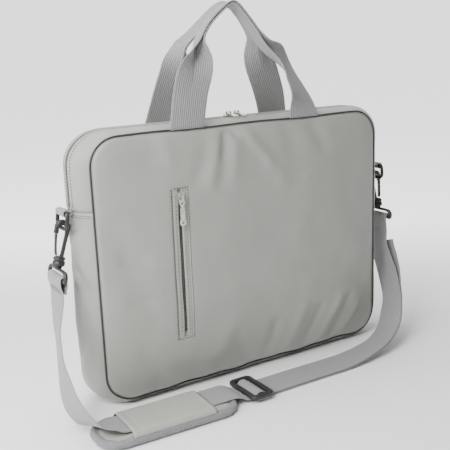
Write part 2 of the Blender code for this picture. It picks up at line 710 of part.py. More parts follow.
def strap_route():
    """The strap's middle line and its width direction, from the left eye over the pad and tri-glide to the right."""
    lane = STRAP_LANE / MM
    left = hook_frame("left") @ Vector((0, 0, -EYE_DROP))
    right = hook_frame("right") @ Vector((0, 0, -EYE_DROP))
    lx, lz, rx, rz = left.x / MM, left.z / MM, right.x / MM, right.z / MM
    turns = [math.pi * step / 4 for step in range(5)]
    over_bar = [(LOOP_RADIUS * math.cos(turn), LOOP_RISE + LOOP_RADIUS * math.sin(turn)) for turn in turns]
    return [
        (lx + 1.2, 0, lz - 14.5, 0, 1, 0),
        (lx + 3.3, 0, lz - 7, 0, 1, 0),
        *[(lx + out, 0, lz + up, 0, 1, 0) for out, up in over_bar],
        (lx - 3.3, 0, lz - 7, 0, 1, 0),
        (lx - 1.4, 0, lz - 14.5, 0, 1, 0),
        (-225.8, -0.2, 122.0, 0.03, 1.00, -0.03),
        (-228.8, -2.2, 100.3, 0.13, 0.97, -0.21),
        (-230.2, -6.1, 86.9, 0.16, 0.91, -0.38),
        (-232.2, -12.5, 74.5, 0.13, 0.83, -0.54),
        (-234.8, -20.7, 63.4, 0.08, 0.72, -0.69),
        (-237.5, -31.0, 54.2, -0.01, 0.59, -0.81),
        (-239.5, -42.9, 47.0, -0.09, 0.46, -0.88),
        (-240.4, -55.6, 40.8, -0.09, 0.42, -0.90),
        (-239.6, -68.1, 34.5, 0.01, 0.51, -0.86),
        (-235.3, -78.3, 26.1, 0.01, 0.80, -0.60),
        (-225.4, -82.5, 17.6, -0.03, 0.95, -0.32),
        (-211.8, -83.0, 14.0, -0.02, 0.99, -0.14),
        (-198.0, lane, 11.3, 0, 1, 0),
        (-150.0, lane, 10.2, 0, 1, 0),
        (-105.0, lane, 10.2, 0, 1, 0),
        (-76.0, lane, 10.4, 0, 1, 0),
        (-67.0, lane, 8.8, 0, 1, 0),
        (-59.0, lane, 4.4, 0, 1, 0),
        (-54.0, lane, 3.0, 0, 1, 0),
        (-50.2, lane, 3.0, 0, 1, 0),
        (-47.2, lane, 5.4, 0, 1, 0),
        (-44.4, lane, 8.1, 0, 1, 0),
        (-41.0, lane, 8.7, 0, 1, 0),
        (-37.6, lane, 8.1, 0, 1, 0),
        (-34.8, lane, 5.4, 0, 1, 0),
        (-31.8, lane, 3.0, 0, 1, 0),
        (-28.0, lane, 3.0, 0, 1, 0),
        (0.0, lane, 3.0, 0, 1, 0),
        (40.0, lane, 3.0, 0, 1, 0),
        (75.0, lane - 0.5, 3.0, 0, 1, 0),
        (102.0, lane, 4.0, -0.05, 0.99, -0.05),
        (132.0, -80, 7.0, -0.09, 0.98, -0.15),
        (160.0, -74.5, 12.5, -0.07, 0.97, -0.25),
        (183.0, -66, 24, -0.12, 0.92, -0.37),
        (200.0, -53, 40.5, -0.11, 0.85, -0.52),
        (213.0, -39, 56, -0.02, 0.77, -0.63),
        (220.5, -25, 73, 0.02, 0.82, -0.57),
        (222.5, -13.5, 92, 0.10, 0.90, -0.38),
        (221.5, -5.5, 112, 0.10, 0.97, -0.20),
        (rx - 3.0, -1, 130, 0, 1, -0.05),
        (rx - LOOP_RADIUS, 0, rz - 6, 0, 1, 0),
        *[(rx - out, 0, rz + up, 0, 1, 0) for out, up in over_bar],
        (rx + LOOP_RADIUS, 0, rz - 4.0, 0, 1, 0),
    ]


def return_gap(place):
    """How far the returning run lies outside the long run: together on the floor, apart up to the eye."""
    stops = (
        # height, gap
        (0.040, 0.0019),
        (0.056, 0.0030),
        (0.073, 0.0068),
        (0.092, 0.0100),
        (0.112, 0.0108),
        (0.130, 0.0096),
        (0.145, 0.0084),
    )
    if place.x < 0 or place.z <= stops[0][0]:
        return stops[0][1]
    for (low, start), (high, end) in zip(stops, stops[1:]):
        if place.z <= high:
            return start + (end - start) * (place.z - low) / (high - low)
    return stops[-1][1]


def as_vector(values):
    place, across = Vector(values[:3]) * MM, Vector(values[3:])
    return Vector((*place, *(across * MM * 10)))


def make_strap():
    route = [as_vector(values) for values in strap_route()]
    curve = smooth(route, 0.017)
    places = [Vector(value[:3]) for value in curve]
    across = [Vector(value[3:]).normalized() for value in curve]
    band("shoulder_strap", places, across, STRAP_WIDTH, STRAP_THICKNESS, "webbing")

    # The returning run starts under the tri-glide's middle bar and follows the long run to the right eye.
    start = next(i for i, place in enumerate(places) if place.x > -0.0440)
    bar_x = bar_centre("right").x
    end = max(i for i, place in enumerate(places) if place.z < 0.147 and place.x < bar_x + 0.004)
    back_places, back_across, back_along = [], [], []
    for place, along, wide in zip(places[start:end], tangents(places)[start:end], across[start:end]):
        under_bar = place.x < -0.028
        run = Vector((1, 0, 0)) if under_bar else along
        level = Vector((place.x, place.y, 0.003)) if under_bar else place
        outside = -run.cross(wide).normalized()
        back_places.append(level + outside * return_gap(place))
        back_across.append(wide)
        back_along.append(run)
    band("strap_return", back_places, back_across, STRAP_WIDTH, STRAP_THICKNESS, "webbing", along=back_along)


def make_triglide():
    """A flat adjuster with two slots: the strap goes up one, over the middle bar and down the other."""
    half = Vector((0.0130, 0.0260, 0.0016))
    slot_inner, slot_outer, slot_half = 0.0022, 0.0090, 0.0205
    centre = Vector((-0.041, STRAP_LANE, 0.0058))
    adjuster = box("tri_glide", centre - half, centre + half, "plastic")
    for side, sign in SIDES.items():
        inner, outer = sorted((centre.x + sign * slot_inner, centre.x + sign * slot_outer))
        low = (inner, centre.y - slot_half, centre.z - 0.01)
        high = (outer, centre.y + slot_half, centre.z + 0.01)
        combine(adjuster, box(f"tri_glide_{side}_slot", low, high, group=CUTTERS))
    bevel(adjuster, 0.0006, 1)


# ---- Shoulder pad ----


def pill(inset, steps=6):
    """The pad's rounded outline, drawn in by inset, in the pad's own X and Y."""
    radius = PAD_CORNER - inset
    x, y = PAD_LENGTH / 2 - PAD_CORNER, PAD_WIDTH / 2 - PAD_CORNER
    points = []
    for quarter, (sx, sy) in enumerate(((1, 1), (-1, 1), (-1, -1), (1, -1))):
        for step in range(steps + 1):
            angle = math.pi / 2 * (quarter + step / steps)
            points.append((sx * x + radius * math.cos(angle), sy * y + radius * math.sin(angle)))
    return points


def make_pad():
    place = Matrix.Translation(PAD_CENTRE) @ Matrix.Rotation(PAD_ANGLE, 4, "Z")
    inset = 2 * BINDING + 0.0004
    layers = ((0.0010, 0.0003), (0.0, 0.0012), (0.0, 0.0075), (0.0018, 0.0086))
    rings = [[place @ Vector((x, y, z)) for x, y in pill(inset + draw)] for draw, z in layers]
    loft("pad_body", rings, "leather")
    edge = [place @ Vector((x, y, BINDING + 0.0003)) for x, y in pill(BINDING, 5)]
    tube("pad_binding", edge, BINDING, "binding", cyclic=True)
    arch = ((-27.8, 10.0), (-26.0, 12.3), (-22.0, 13.4), (0, 13.8), (22.0, 13.4), (26.0, 12.3), (27.8, 10.0))
    points = [place @ (Vector((0, y, z)) * MM) for y, z in arch]
    band("pad_band", points, place.to_3x3() @ Vector((1, 0, 0)), BAND_LENGTH, 0.0012, "leather")


make_shell()
make_inside()
make_pocket()
make_main_sliders()
make_handle("front_handle", -1)
make_handle("back_handle", 1)
for hardware_side in SIDES:
    make_tab(hardware_side)
    make_ring(hardware_side)
    make_hook(hardware_side)
    make_eye(hardware_side)
make_strap()
make_triglide()
make_pad()
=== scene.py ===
import json
import math

import bmesh
import bpy
import numpy as np
from mathutils import Matrix, Vector, noise

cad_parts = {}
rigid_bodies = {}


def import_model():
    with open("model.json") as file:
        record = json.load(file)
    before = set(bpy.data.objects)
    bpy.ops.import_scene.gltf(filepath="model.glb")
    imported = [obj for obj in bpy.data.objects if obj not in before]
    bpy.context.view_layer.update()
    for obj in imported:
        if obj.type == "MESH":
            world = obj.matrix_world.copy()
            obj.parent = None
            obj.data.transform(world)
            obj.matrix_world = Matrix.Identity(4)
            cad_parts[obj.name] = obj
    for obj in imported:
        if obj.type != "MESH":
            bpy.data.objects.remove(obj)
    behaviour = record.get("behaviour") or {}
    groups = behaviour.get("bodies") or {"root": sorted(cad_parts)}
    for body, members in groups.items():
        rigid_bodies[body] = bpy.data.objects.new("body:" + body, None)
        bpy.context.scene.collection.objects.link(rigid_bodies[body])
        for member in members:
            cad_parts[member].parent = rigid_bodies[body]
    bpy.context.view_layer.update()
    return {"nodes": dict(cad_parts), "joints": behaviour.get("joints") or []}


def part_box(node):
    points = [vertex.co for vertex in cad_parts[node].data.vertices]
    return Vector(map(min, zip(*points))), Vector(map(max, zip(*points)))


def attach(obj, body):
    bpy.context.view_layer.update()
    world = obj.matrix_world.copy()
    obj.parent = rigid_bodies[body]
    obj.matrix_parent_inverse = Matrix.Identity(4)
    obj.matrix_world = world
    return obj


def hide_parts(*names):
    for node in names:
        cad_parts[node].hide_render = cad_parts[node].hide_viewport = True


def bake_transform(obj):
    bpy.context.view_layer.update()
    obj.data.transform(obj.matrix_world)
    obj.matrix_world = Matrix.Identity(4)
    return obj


for item in list(bpy.data.objects):
    bpy.data.objects.remove(item, do_unlink=True)

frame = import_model()
SCENE = bpy.context.scene

MM = 0.001
panel_low, panel_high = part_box("front_panel")
WIDTH = panel_high[0] - panel_low[0]
SEAM_BOTTOM = panel_low[2]
HEIGHT = panel_high[2] - SEAM_BOTTOM
SEAM_TOP = SEAM_BOTTOM + HEIGHT
MIDDLE = SEAM_BOTTOM + HEIGHT / 2
CORNER = 0.030
HALF_DEPTH = 0.028
ZIP_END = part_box("front_zip_strip")[0][2]
BULGE = {
    "left": -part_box("lower_gusset")[0][0] - WIDTH / 2,
    "right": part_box("lower_gusset")[1][0] - WIDTH / 2,
    "top": 0.007,
    "bottom": SEAM_BOTTOM,
}
PANEL_EDGE = 0.0313
FRONT_PUFF = -panel_low[1] - PANEL_EDGE
BACK_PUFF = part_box("back_panel_lower")[1][1] - PANEL_EDGE
SIDES = {"left": -1, "right": 1}


# ---- Camera, lights and floor ----


VIEW_DIRECTION = (0.52, 0.85, 0.0)
BACKDROP_EDGE = (0.45, 0.80)
BACKDROP_LIGHT = (0.24, 2.0)
FLOOR_LEVEL, FLOOR_HALF = -0.0004, 6
FLOOR_GLOW = {"From Min": 0.12, "From Max": 0.75, "To Max": 1.5}


def make_camera():
    data = bpy.data.cameras.new("camera")
    data.sensor_width = 36.0
    data.lens = 60.71
    camera = bpy.data.objects.new("camera", data)
    SCENE.collection.objects.link(camera)
    right = Vector((0.84626, -0.53142, -0.03784))
    up = Vector((0.15467, 0.17710, 0.97196))
    back = Vector((-0.50982, -0.82839, 0.23207))
    place = Matrix((right, up, back)).transposed().to_4x4()
    place.translation = Vector((-0.46948, -0.73721, 0.38061))
    camera.matrix_world = place
    SCENE.camera = camera


def area_light(name, place, target, size, power):
    data = bpy.data.lights.new(name, "AREA")
    data.shape = "RECTANGLE"
    data.size, data.size_y = size
    data.energy = power
    light = bpy.data.objects.new(name, data)
    SCENE.collection.objects.link(light)
    light.location = place
    light.rotation_euler = (Vector(target) - Vector(place)).to_track_quat("-Z", "Y").to_euler()


def make_studio():
    """A bright backdrop behind the bag, dim light all round, and a key light close on the left."""
    world = bpy.data.worlds.new("studio")
    world.use_nodes = True
    tree = world.node_tree
    backdrop = tree.nodes["Background"]
    direction = tree.nodes.new("ShaderNodeTexCoord").outputs["Generated"]
    toward = tree.nodes.new("ShaderNodeVectorMath")
    toward.operation = "DOT_PRODUCT"
    tree.links.new(direction, toward.inputs[0])
    toward.inputs[1].default_value = VIEW_DIRECTION
    ramp = tree.nodes.new("ShaderNodeMapRange")
    ramp.interpolation_type = "SMOOTHSTEP"
    tree.links.new(toward.outputs["Value"], ramp.inputs[0])
    for index, number in enumerate((*BACKDROP_EDGE, *BACKDROP_LIGHT), 1):
        ramp.inputs[index].default_value = number
    backdrop.inputs["Color"].default_value = (1.0, 1.0, 1.0, 1.0)
    tree.links.new(ramp.outputs[0], backdrop.inputs["Strength"])
    SCENE.world = world
    area_light("key", (-0.70, -0.40, 0.74), (-0.12, -0.02, 0.22), (0.45, 0.45), 12.5)
    area_light("side", (-1.4, 0.25, 0.7), (0, 0, 0.15), (0.8, 0.8), 14)
    area_light("top", (-0.2, 0.3, 1.6), (0, 0, 0.2), (1.2, 1.2), 20)


# ---- Materials ----


class Finish:
    """A Principled material and short calls to add nodes to it."""

    def __init__(self, name, colour, roughness, metallic=0.0):
        self.material = bpy.data.materials.new(name)
        self.material.use_nodes = True
        self.tree = self.material.node_tree
        self.shader = self.tree.nodes["Principled BSDF"]
        self.set(self.shader, "Base Color", (*colour, 1.0))
        self.set(self.shader, "Roughness", roughness)
        self.set(self.shader, "Metallic", metallic)

    def set(self, node, socket, value):
        if hasattr(value, "node"):
            self.tree.links.new(value, node.inputs[socket])
        else:
            node.inputs[socket].default_value = value

    def node(self, kind, output=0, settings=None, **inputs):
        node = self.tree.nodes.new(kind)
        for key, value in (settings or {}).items():
            setattr(node, key, value)
        for socket, value in inputs.items():
            self.set(node, socket.replace("_", " "), value)
        return node.outputs[output]

    def math(self, operation, first, second=0.0):
        node = self.tree.nodes.new("ShaderNodeMath")
        node.operation = operation
        self.set(node, 0, first)
        self.set(node, 1, second)
        return node.outputs[0]

    def where(self, kind="Object"):
        return self.node("ShaderNodeTexCoord", kind)

    def scaled(self, vector, scale):
        node = self.tree.nodes.new("ShaderNodeVectorMath")
        node.operation = "MULTIPLY"
        self.set(node, 0, vector)
        node.inputs[1].default_value = scale
        return node.outputs[0]

    def noise(self, scale, detail=2.0, vector=None):
        return self.node("ShaderNodeTexNoise", Scale=scale, Detail=detail, Vector=vector or self.where())

    def range(self, value, low, high, start=0.0, end=1.0):
        node = self.tree.nodes.new("ShaderNodeMapRange")
        self.set(node, 0, value)
        for index, number in enumerate((start, end, low, high), 1):
            node.inputs[index].default_value = number
        return node.outputs[0]

    def tint(self, factor, dark, light):
        node = self.tree.nodes.new("ShaderNodeMix")
        node.data_type = "RGBA"
        self.set(node, 0, factor)
        node.inputs[6].default_value = (*dark, 1.0)
        node.inputs[7].default_value = (*light, 1.0)
        self.set(self.shader, "Base Color", node.outputs[2])

    def bump(self, height, strength, distance):
        self.set(
            self.shader,
            "Normal",
            self.node("ShaderNodeBump", Height=height, Strength=strength, Distance=distance),
        )

    def sine(self, value):
        return self.math("SINE", self.math("MULTIPLY", value, 2 * math.pi))


def shade(colour, factor):
    return tuple(channel * factor for channel in colour)


def make_leather(name, colour, grain=1.0):
    finish = Finish(name, colour, 0.5)
    cells = finish.node("ShaderNodeTexVoronoi", "Distance", Scale=820.0, Vector=finish.where())
    fine = finish.math("MULTIPLY", finish.noise(2200.0, 3.0), 0.5)
    finish.bump(finish.math("ADD", cells, fine), 0.28 * grain, 0.00022)
    tone = finish.range(finish.noise(16.0, 4.0), 0.0, 1.0, 0.3, 0.7)
    finish.tint(tone, shade(colour, 0.955), shade(colour, 1.03))
    finish.set(finish.shader, "Roughness", finish.range(finish.noise(45.0, 3.0), 0.43, 0.56, 0.3, 0.7))
    finish.set(finish.shader, "Sheen Weight", 0.06)
    return finish.material


def make_weave(name, colour, rib, pick, relief_shading=0.22, depth=0.00025, roughness=0.75):
    """Webbing: ribs along its length and picks across, from its own U across and V along, in metres. Its
    colour is darker in the weave's valleys and lighter on its ridges: painted shade and painted highlight.
    """
    finish = Finish(name, colour, roughness)
    split = finish.tree.nodes.new("ShaderNodeSeparateXYZ")
    finish.set(split, 0, finish.where("UV"))
    across = finish.math("DIVIDE", split.outputs[0], rib)
    along = finish.math("DIVIDE", split.outputs[1], pick)
    ribs = finish.range(finish.sine(across), 0.0, 1.0, -1.0, 1.0)
    step = finish.math("MULTIPLY", finish.math("FLOOR", finish.math("MULTIPLY", across, 2.0)), 0.5)
    picks = finish.range(finish.sine(finish.math("ADD", along, step)), 0.0, 1.0, -1.0, 1.0)
    weave = finish.math("ADD", finish.math("MULTIPLY", ribs, 0.65), finish.math("MULTIPLY", picks, 0.35))
    fuzz = finish.math("MULTIPLY", finish.noise(900.0, 3.0), 0.3)
    height = finish.math("ADD", weave, fuzz)
    finish.bump(height, 0.6, depth)
    # Painted shade in the weave's valleys and painted highlight on its ridges: the colour follows the bump's
    # height.
    dark, light = shade(colour, 1 - relief_shading), shade(colour, 1 + relief_shading * 0.6)
    finish.tint(finish.range(height, 0.0, 1.0, 0.1, 1.1), dark, light)
    finish.set(finish.shader, "Sheen Weight", 0.2)
    return finish.material


def make_knit(name, colour, pitch):
    """A fine knit or woven cloth with no direction of its own."""
    finish = Finish(name, colour, 0.85)
    scaled = finish.scaled(finish.where(), (1 / pitch,) * 3)
    loops = finish.node("ShaderNodeTexVoronoi", "Distance", Scale=1.0, Vector=scaled)
    height = finish.math("ADD", loops, finish.math("MULTIPLY", finish.noise(1500.0), 0.4))
    finish.bump(height, 0.7, 0.0004)
    finish.tint(finish.range(height, 0.0, 1.0, 0.15, 1.0), shade(colour, 1.15), shade(colour, 0.75))
    finish.set(finish.shader, "Sheen Weight", 0.25)
    return finish.material


def make_plastic(name, colour, roughness):
    finish = Finish(name, colour, roughness)
    finish.bump(finish.noise(1400.0, 3.0), 0.12, 0.0001)
    tone = finish.range(finish.noise(120.0, 3.0), 0.0, 1.0, 0.35, 0.65)
    finish.tint(tone, shade(colour, 0.8), shade(colour, 1.3))
    wear = finish.range(finish.noise(260.0, 3.0), roughness - 0.06, roughness + 0.1, 0.3, 0.7)
    finish.set(finish.shader, "Roughness", wear)
    return finish.material


def make_metal(name, colour, roughness):
    finish = Finish(name, colour, roughness, 1.0)
    finish.bump(finish.noise(700.0, 2.0), 0.05, 0.0001)
    finish.tint(finish.range(finish.noise(240.0, 3.0), 0.0, 1.0, 0.3, 0.7), shade(colour, 0.88), colour)
    wear = finish.range(finish.noise(420.0, 3.0), roughness, roughness + 0.12, 0.3, 0.7)
    finish.set(finish.shader, "Roughness", wear)
    return finish.material


def make_cloth(name, colour, pitch):
    """A plain weave from object coordinates, its colour lighter where the weave stands high and darker where
    it sinks: painted highlight and painted shade.
    """
    finish = Finish(name, colour, 0.85)
    split = finish.tree.nodes.new("ShaderNodeSeparateXYZ")
    finish.set(split, 0, finish.where())
    level = finish.sine(finish.math("DIVIDE", finish.math("ADD", split.outputs[0], split.outputs[1]), pitch))
    upright = finish.sine(finish.math("DIVIDE", split.outputs[2], pitch))
    height = finish.math("ADD", finish.math("MULTIPLY", level, upright), finish.noise(800.0))
    finish.bump(height, 0.4, 0.0002)
    # Painted highlight on the raised threads and painted shade in the hollows, from the bump's height.
    finish.tint(finish.range(height, 0.0, 1.0, -0.5, 1.5), shade(colour, 0.8), shade(colour, 1.2))
    return finish.material


LEATHER = (0.32, 0.325, 0.30)
FINISHES = {
    "leather": make_leather("grey_leather", LEATHER),
    "leather_pale": make_leather("pad_leather", (0.37, 0.375, 0.34), 1.2),
    # The piping is a dark cord. Its near-black colour also stands in for the shade in the seam's groove:
    # painted shade.
    "piping": make_leather("piping_leather_and_seam_shade", (0.035, 0.038, 0.035)),
    # The fifth number of each weave sets how strong its painted valley shade and ridge highlight are.
    "webbing": make_weave("handle_webbing", (0.285, 0.285, 0.285), 0.0024, 0.0019, 0.6, 0.0009),
    "strap": make_weave("strap_webbing", (0.285, 0.288, 0.29), 0.0022, 0.0016, 0.45, 0.0006),
    "tape": make_weave("zip_tape", (0.55, 0.54, 0.48), 0.0011, 0.0009, 0.12),
    "binding": make_knit("knit_binding", (0.24, 0.24, 0.25), 0.0016),
    "thread": make_knit("thread", (0.045, 0.045, 0.043), 0.0006),
    "pale_thread": make_knit("pale_thread", (0.5, 0.5, 0.47), 0.0006),
    "coil": make_plastic("zip_coil", (0.07, 0.07, 0.065), 0.4),
    "plastic": make_plastic("black_plastic", (0.022, 0.021, 0.021), 0.38),
    "board": make_plastic("stiffener", (0.12, 0.12, 0.12), 0.6),
    "nickel": make_metal("nickel", (0.86, 0.83, 0.77), 0.2),
    "lining": make_cloth("lining_cloth", (0.09, 0.09, 0.092), 0.0012),
}


# ---- Mesh helpers ----


def add(name, mesh, finish, body=None, replaces=(), bend=False):
    piece = bpy.data.objects.new(name, mesh)
    SCENE.collection.objects.link(piece)
    mesh.materials.append(FINISHES[finish])
    for face in mesh.polygons:
        face.use_smooth = True
    if bend:
        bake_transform(piece)
    elif body:
        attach(piece, body)
    if replaces:
        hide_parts(*replaces)
    return piece


def mesh_of(name, points, faces, uvs=None):
    """uvs is one (u, v) for each vertex, or for each corner of each face."""
    mesh = bpy.data.meshes.new(name)
    places = [tuple(map(float, point)) for point in points]
    mesh.from_pydata(places, [], [tuple(map(int, face)) for face in faces])
    if uvs is not None:
        layer = mesh.uv_layers.new(name="UVMap")
        uvs = np.asarray(uvs, float)
        corners = np.array([index for face in faces for index in face])
        values = uvs[corners] if len(uvs) == len(points) else uvs
        layer.data.foreach_set("uv", values.astype(np.float32).ravel())
    return mesh


def quads(rows, columns, keep=None, wrap=False):
    """Faces of a grid of vertices; wrap joins the last column to the first."""
    faces = []
    for i in range(rows - 1):
        for j in range(columns if wrap else columns - 1):
            if keep is None or keep(i, j):
                k = (j + 1) % columns
                faces.append((i * columns + j, i * columns + k, (i + 1) * columns + k, (i + 1) * columns + j))
    return faces


def facing(points, faces, outward):
    """The faces, turned if most of them face against outward(point)."""
    corners = np.asarray(points)[np.asarray(faces)[:, :4]]
    normals = np.cross(corners[:, 2] - corners[:, 0], corners[:, 3] - corners[:, 1])
    centres = corners.mean(axis=1)
    agree = sum(float(np.dot(normal, outward(centre))) for normal, centre in zip(normals, centres))
    return faces if agree > 0 else [tuple(reversed(face)) for face in faces]


def from_middle(point):
    return np.array((point[0], point[1], point[2] - MIDDLE))


def one_way(*direction):
    """An outward direction that is the same everywhere."""
    return lambda point: np.array(direction)


FORWARD, BACKWARD, UPWARD = (0, -1, 0), (0, 1, 0), (0, 0, 1)


def skin(name, grid, finish, thickness, outward=from_middle, keep=None, uvs=None, inside="lining", **extra):
    """A grid of points made a thickened sheet, with its inner face in another finish."""
    grid = np.asarray(grid, float)
    rows, columns = grid.shape[:2]
    points = grid.reshape(-1, 3)
    faces = facing(points, quads(rows, columns, keep), outward)
    used = sorted({index for face in faces for index in face})
    if len(used) < len(points):
        index_of = {old: new for new, old in enumerate(used)}
        points = points[used]
        faces = [tuple(index_of[index] for index in face) for face in faces]
        uvs = None if uvs is None else np.asarray(uvs)[used]
    mesh = mesh_of(name, points, faces, uvs)
    piece = add(name, mesh, finish, **extra)
    mesh.materials.append(FINISHES[inside])
    solid = piece.modifiers.new("thickness", "SOLIDIFY")
    solid.thickness = thickness
    solid.offset = -1.0
    solid.material_offset = 1
    solid.material_offset_rim = 0
    return piece


def catmull(points, pitch):
    """Points about pitch apart on a smooth curve through points, which may have any number of values each."""
    points = [np.asarray(point, float) for point in points]
    last = len(points) - 1
    curve = []
    for i in range(last):
        before, start, end, after = points[max(i - 1, 0)], points[i], points[i + 1], points[min(i + 2, last)]
        steps = max(1, int(round(np.linalg.norm((end - start)[:3]) / pitch)))
        for step in range(steps):
            t = step / steps
            bend = 2 * start + (end - before) * t + (2 * before - 5 * start + 4 * end - after) * t**2
            curve.append((bend + (3 * start - before - 3 * end + after) * t**3) / 2)
    curve.append(points[last])
    return np.array(curve)


def unit(vectors):
    vectors = np.asarray(vectors, float)
    return vectors / np.maximum(np.linalg.norm(vectors, axis=-1, keepdims=True), 1e-12)


def directions(path, cyclic=False):
    path = np.asarray(path, float)
    if cyclic:
        return unit(np.roll(path, -1, axis=0) - np.roll(path, 1, axis=0))
    return unit(np.gradient(path, axis=0))


def lengths(path):
    steps = np.linalg.norm(np.diff(path, axis=0), axis=1)
    return np.concatenate([[0.0], np.cumsum(steps)])


def along_path(places, distance, values):
    """The values, one row for each point of a path, looked up at the given distances along it."""
    return np.stack([np.interp(places, distance, column) for column in np.asarray(values).T], axis=1)


def tidy_normals(mesh):
    shape = bmesh.new()
    shape.from_mesh(mesh)
    bmesh.ops.recalc_face_normals(shape, faces=shape.faces)
    shape.to_mesh(mesh)
    shape.free()


def solid(name, points, faces, finish, uvs=None, **extra):
    """A closed piece. Its faces may be wound either way."""
    mesh = mesh_of(name, points, faces, uvs)
    tidy_normals(mesh)
    return add(name, mesh, finish, **extra)


def rod(count, sides):
    """Faces of a row of rings, closed at both ends."""
    ends = [tuple(range(sides)), tuple(range((count - 1) * sides, count * sides))]
    return quads(count, sides, wrap=True) + ends


def squared(along, across):
    """The across directions turned square to along, and the normals of both."""
    across = unit(across - (across * along).sum(axis=1, keepdims=True) * along)
    return across, np.cross(along, across)


RIBBON_HALF = ((-1.0, -0.35), (-0.975, -0.8), (-0.92, -1.0), (-0.5, -0.94), (0.0, -0.92))


def ribbon(name, path, across, width, thickness, finish, along=None, **extra):
    """A flat strap with rounded edges."""
    path = np.asarray(path, float)
    count = len(path)
    along = directions(path) if along is None else along
    across, normal = squared(along, np.broadcast_to(np.asarray(across, float), path.shape))
    outline = [*RIBBON_HALF, *((-x, y) for x, y in reversed(RIBBON_HALF[:-1]))]
    outline += [(x, -y) for x, y in reversed(outline)]
    points = [
        path[i] + across[i] * x * width / 2 + normal[i] * (y * thickness / 2)
        for i in range(count)
        for x, y in outline
    ]
    uvs = [(x * width / 2, run) for run in lengths(path) for x, _ in outline]
    return solid(name, points, rod(count, len(outline)), finish, uvs, **extra)


def tube(name, path, radius, finish, sides, **extra):
    """A round bar along a path that closes on itself."""
    path = np.asarray(path, float)
    count = len(path)
    along = directions(path, True)
    radius = np.broadcast_to(radius, count)
    side = np.cross(along[0], (0.31, 0.2, 0.93))
    rings = []
    for place, direction, r in zip(path, along, radius):
        side = unit(side - np.dot(side, direction) * direction)
        other = np.cross(direction, side)
        for k in range(sides):
            angle = 2 * math.pi * k / sides
            rings.append(place + (side * math.cos(angle) + other * math.sin(angle)) * r)
    faces = quads(count, sides, wrap=True)
    # The last ring joins the first at the turn that lies nearest.
    last = (count - 1) * sides
    first_ring = np.array(rings[:sides])
    away = [float(np.sum((np.roll(first_ring, -s, axis=0) - rings[last:]) ** 2)) for s in range(sides)]
    shift = away.index(min(away))
    for k in range(sides):
        n = (k + 1) % sides
        faces.append((last + k, last + n, (n + shift) % sides, (k + shift) % sides))
    distance = lengths(path)
    uvs = [(2 * math.pi * radius[i] * k / sides, distance[i]) for i in range(count) for k in range(sides)]
    return solid(name, rings, faces, finish, uvs, **extra)


STITCH_TIPS = [(0, 1, 2), (0, 2, 3), (0, 3, 4), (0, 4, 1), (9, 6, 5), (9, 7, 6), (9, 8, 7), (9, 5, 8)]
STITCH_SIDES = [(1 + k, 5 + k, 5 + (k + 1) % 4, 1 + (k + 1) % 4) for k in range(4)]
STITCH_FACES = STITCH_TIPS + STITCH_SIDES


def stitches(name, path, normals, finish="thread", pitch=0.0034, size=(0.0022, 0.0007, 0.00045), **extra):
    """Separate stitches laid on a surface along path. size is each one's length, width and height.

    normals is one direction for the whole row, or one for each point."""
    path = np.asarray(path, float)
    distance = lengths(path)
    places = np.arange(pitch / 2, distance[-1], pitch)
    spots = along_path(places, distance, path)
    ups = unit(along_path(places, distance, np.broadcast_to(np.asarray(normals, float), path.shape)))
    along = directions(spots)
    side = unit(np.cross(ups, along))
    length, width, height = size
    section = ((-0.5, -0.3), (-0.25, 0.7), (0.25, 0.7), (0.5, -0.3))
    shape = [(-0.5, 0, 0), *((t, s, h) for t in (-0.3, 0.3) for s, h in section), (0.5, 0, 0)]
    points, faces = [], []
    for spot, up, go, out in zip(spots, ups, along, side):
        base = len(points)
        points += [spot + go * t * length + out * s * width + up * h * height for t, s, h in shape]
        faces += [tuple(base + index for index in face) for face in STITCH_FACES]
    return solid(name, points, faces, finish, **extra)


def bevel(piece, width, segments=3, angle=35):
    rounding = piece.modifiers.new("rounding", "BEVEL")
    rounding.width = width
    rounding.segments = segments
    rounding.limit_method = "ANGLE"
    rounding.angle_limit = math.radians(angle)
    return piece


# ---- The body's surfaces ----


def ripple(x, y, z, scale, height):
    return noise.noise(Vector((x, y, z)) * scale) * height


def ridge(x, z, start, end, width, height):
    """A soft fold along a line in X and Z, dying away at both ends."""
    a, b = np.array(start), np.array(end)
    span = b - a
    t = float(np.dot(np.array((x, z)) - a, span) / np.dot(span, span))
    nearest = a + span * min(1.0, max(0.0, t))
    away = math.hypot(x - nearest[0], z - nearest[1])
    ends = min(1.0, max(0.0, 0.5 - abs(t - 0.5) + 0.35) / 0.5)
    return height * ends * math.exp(-((away / width) ** 2))


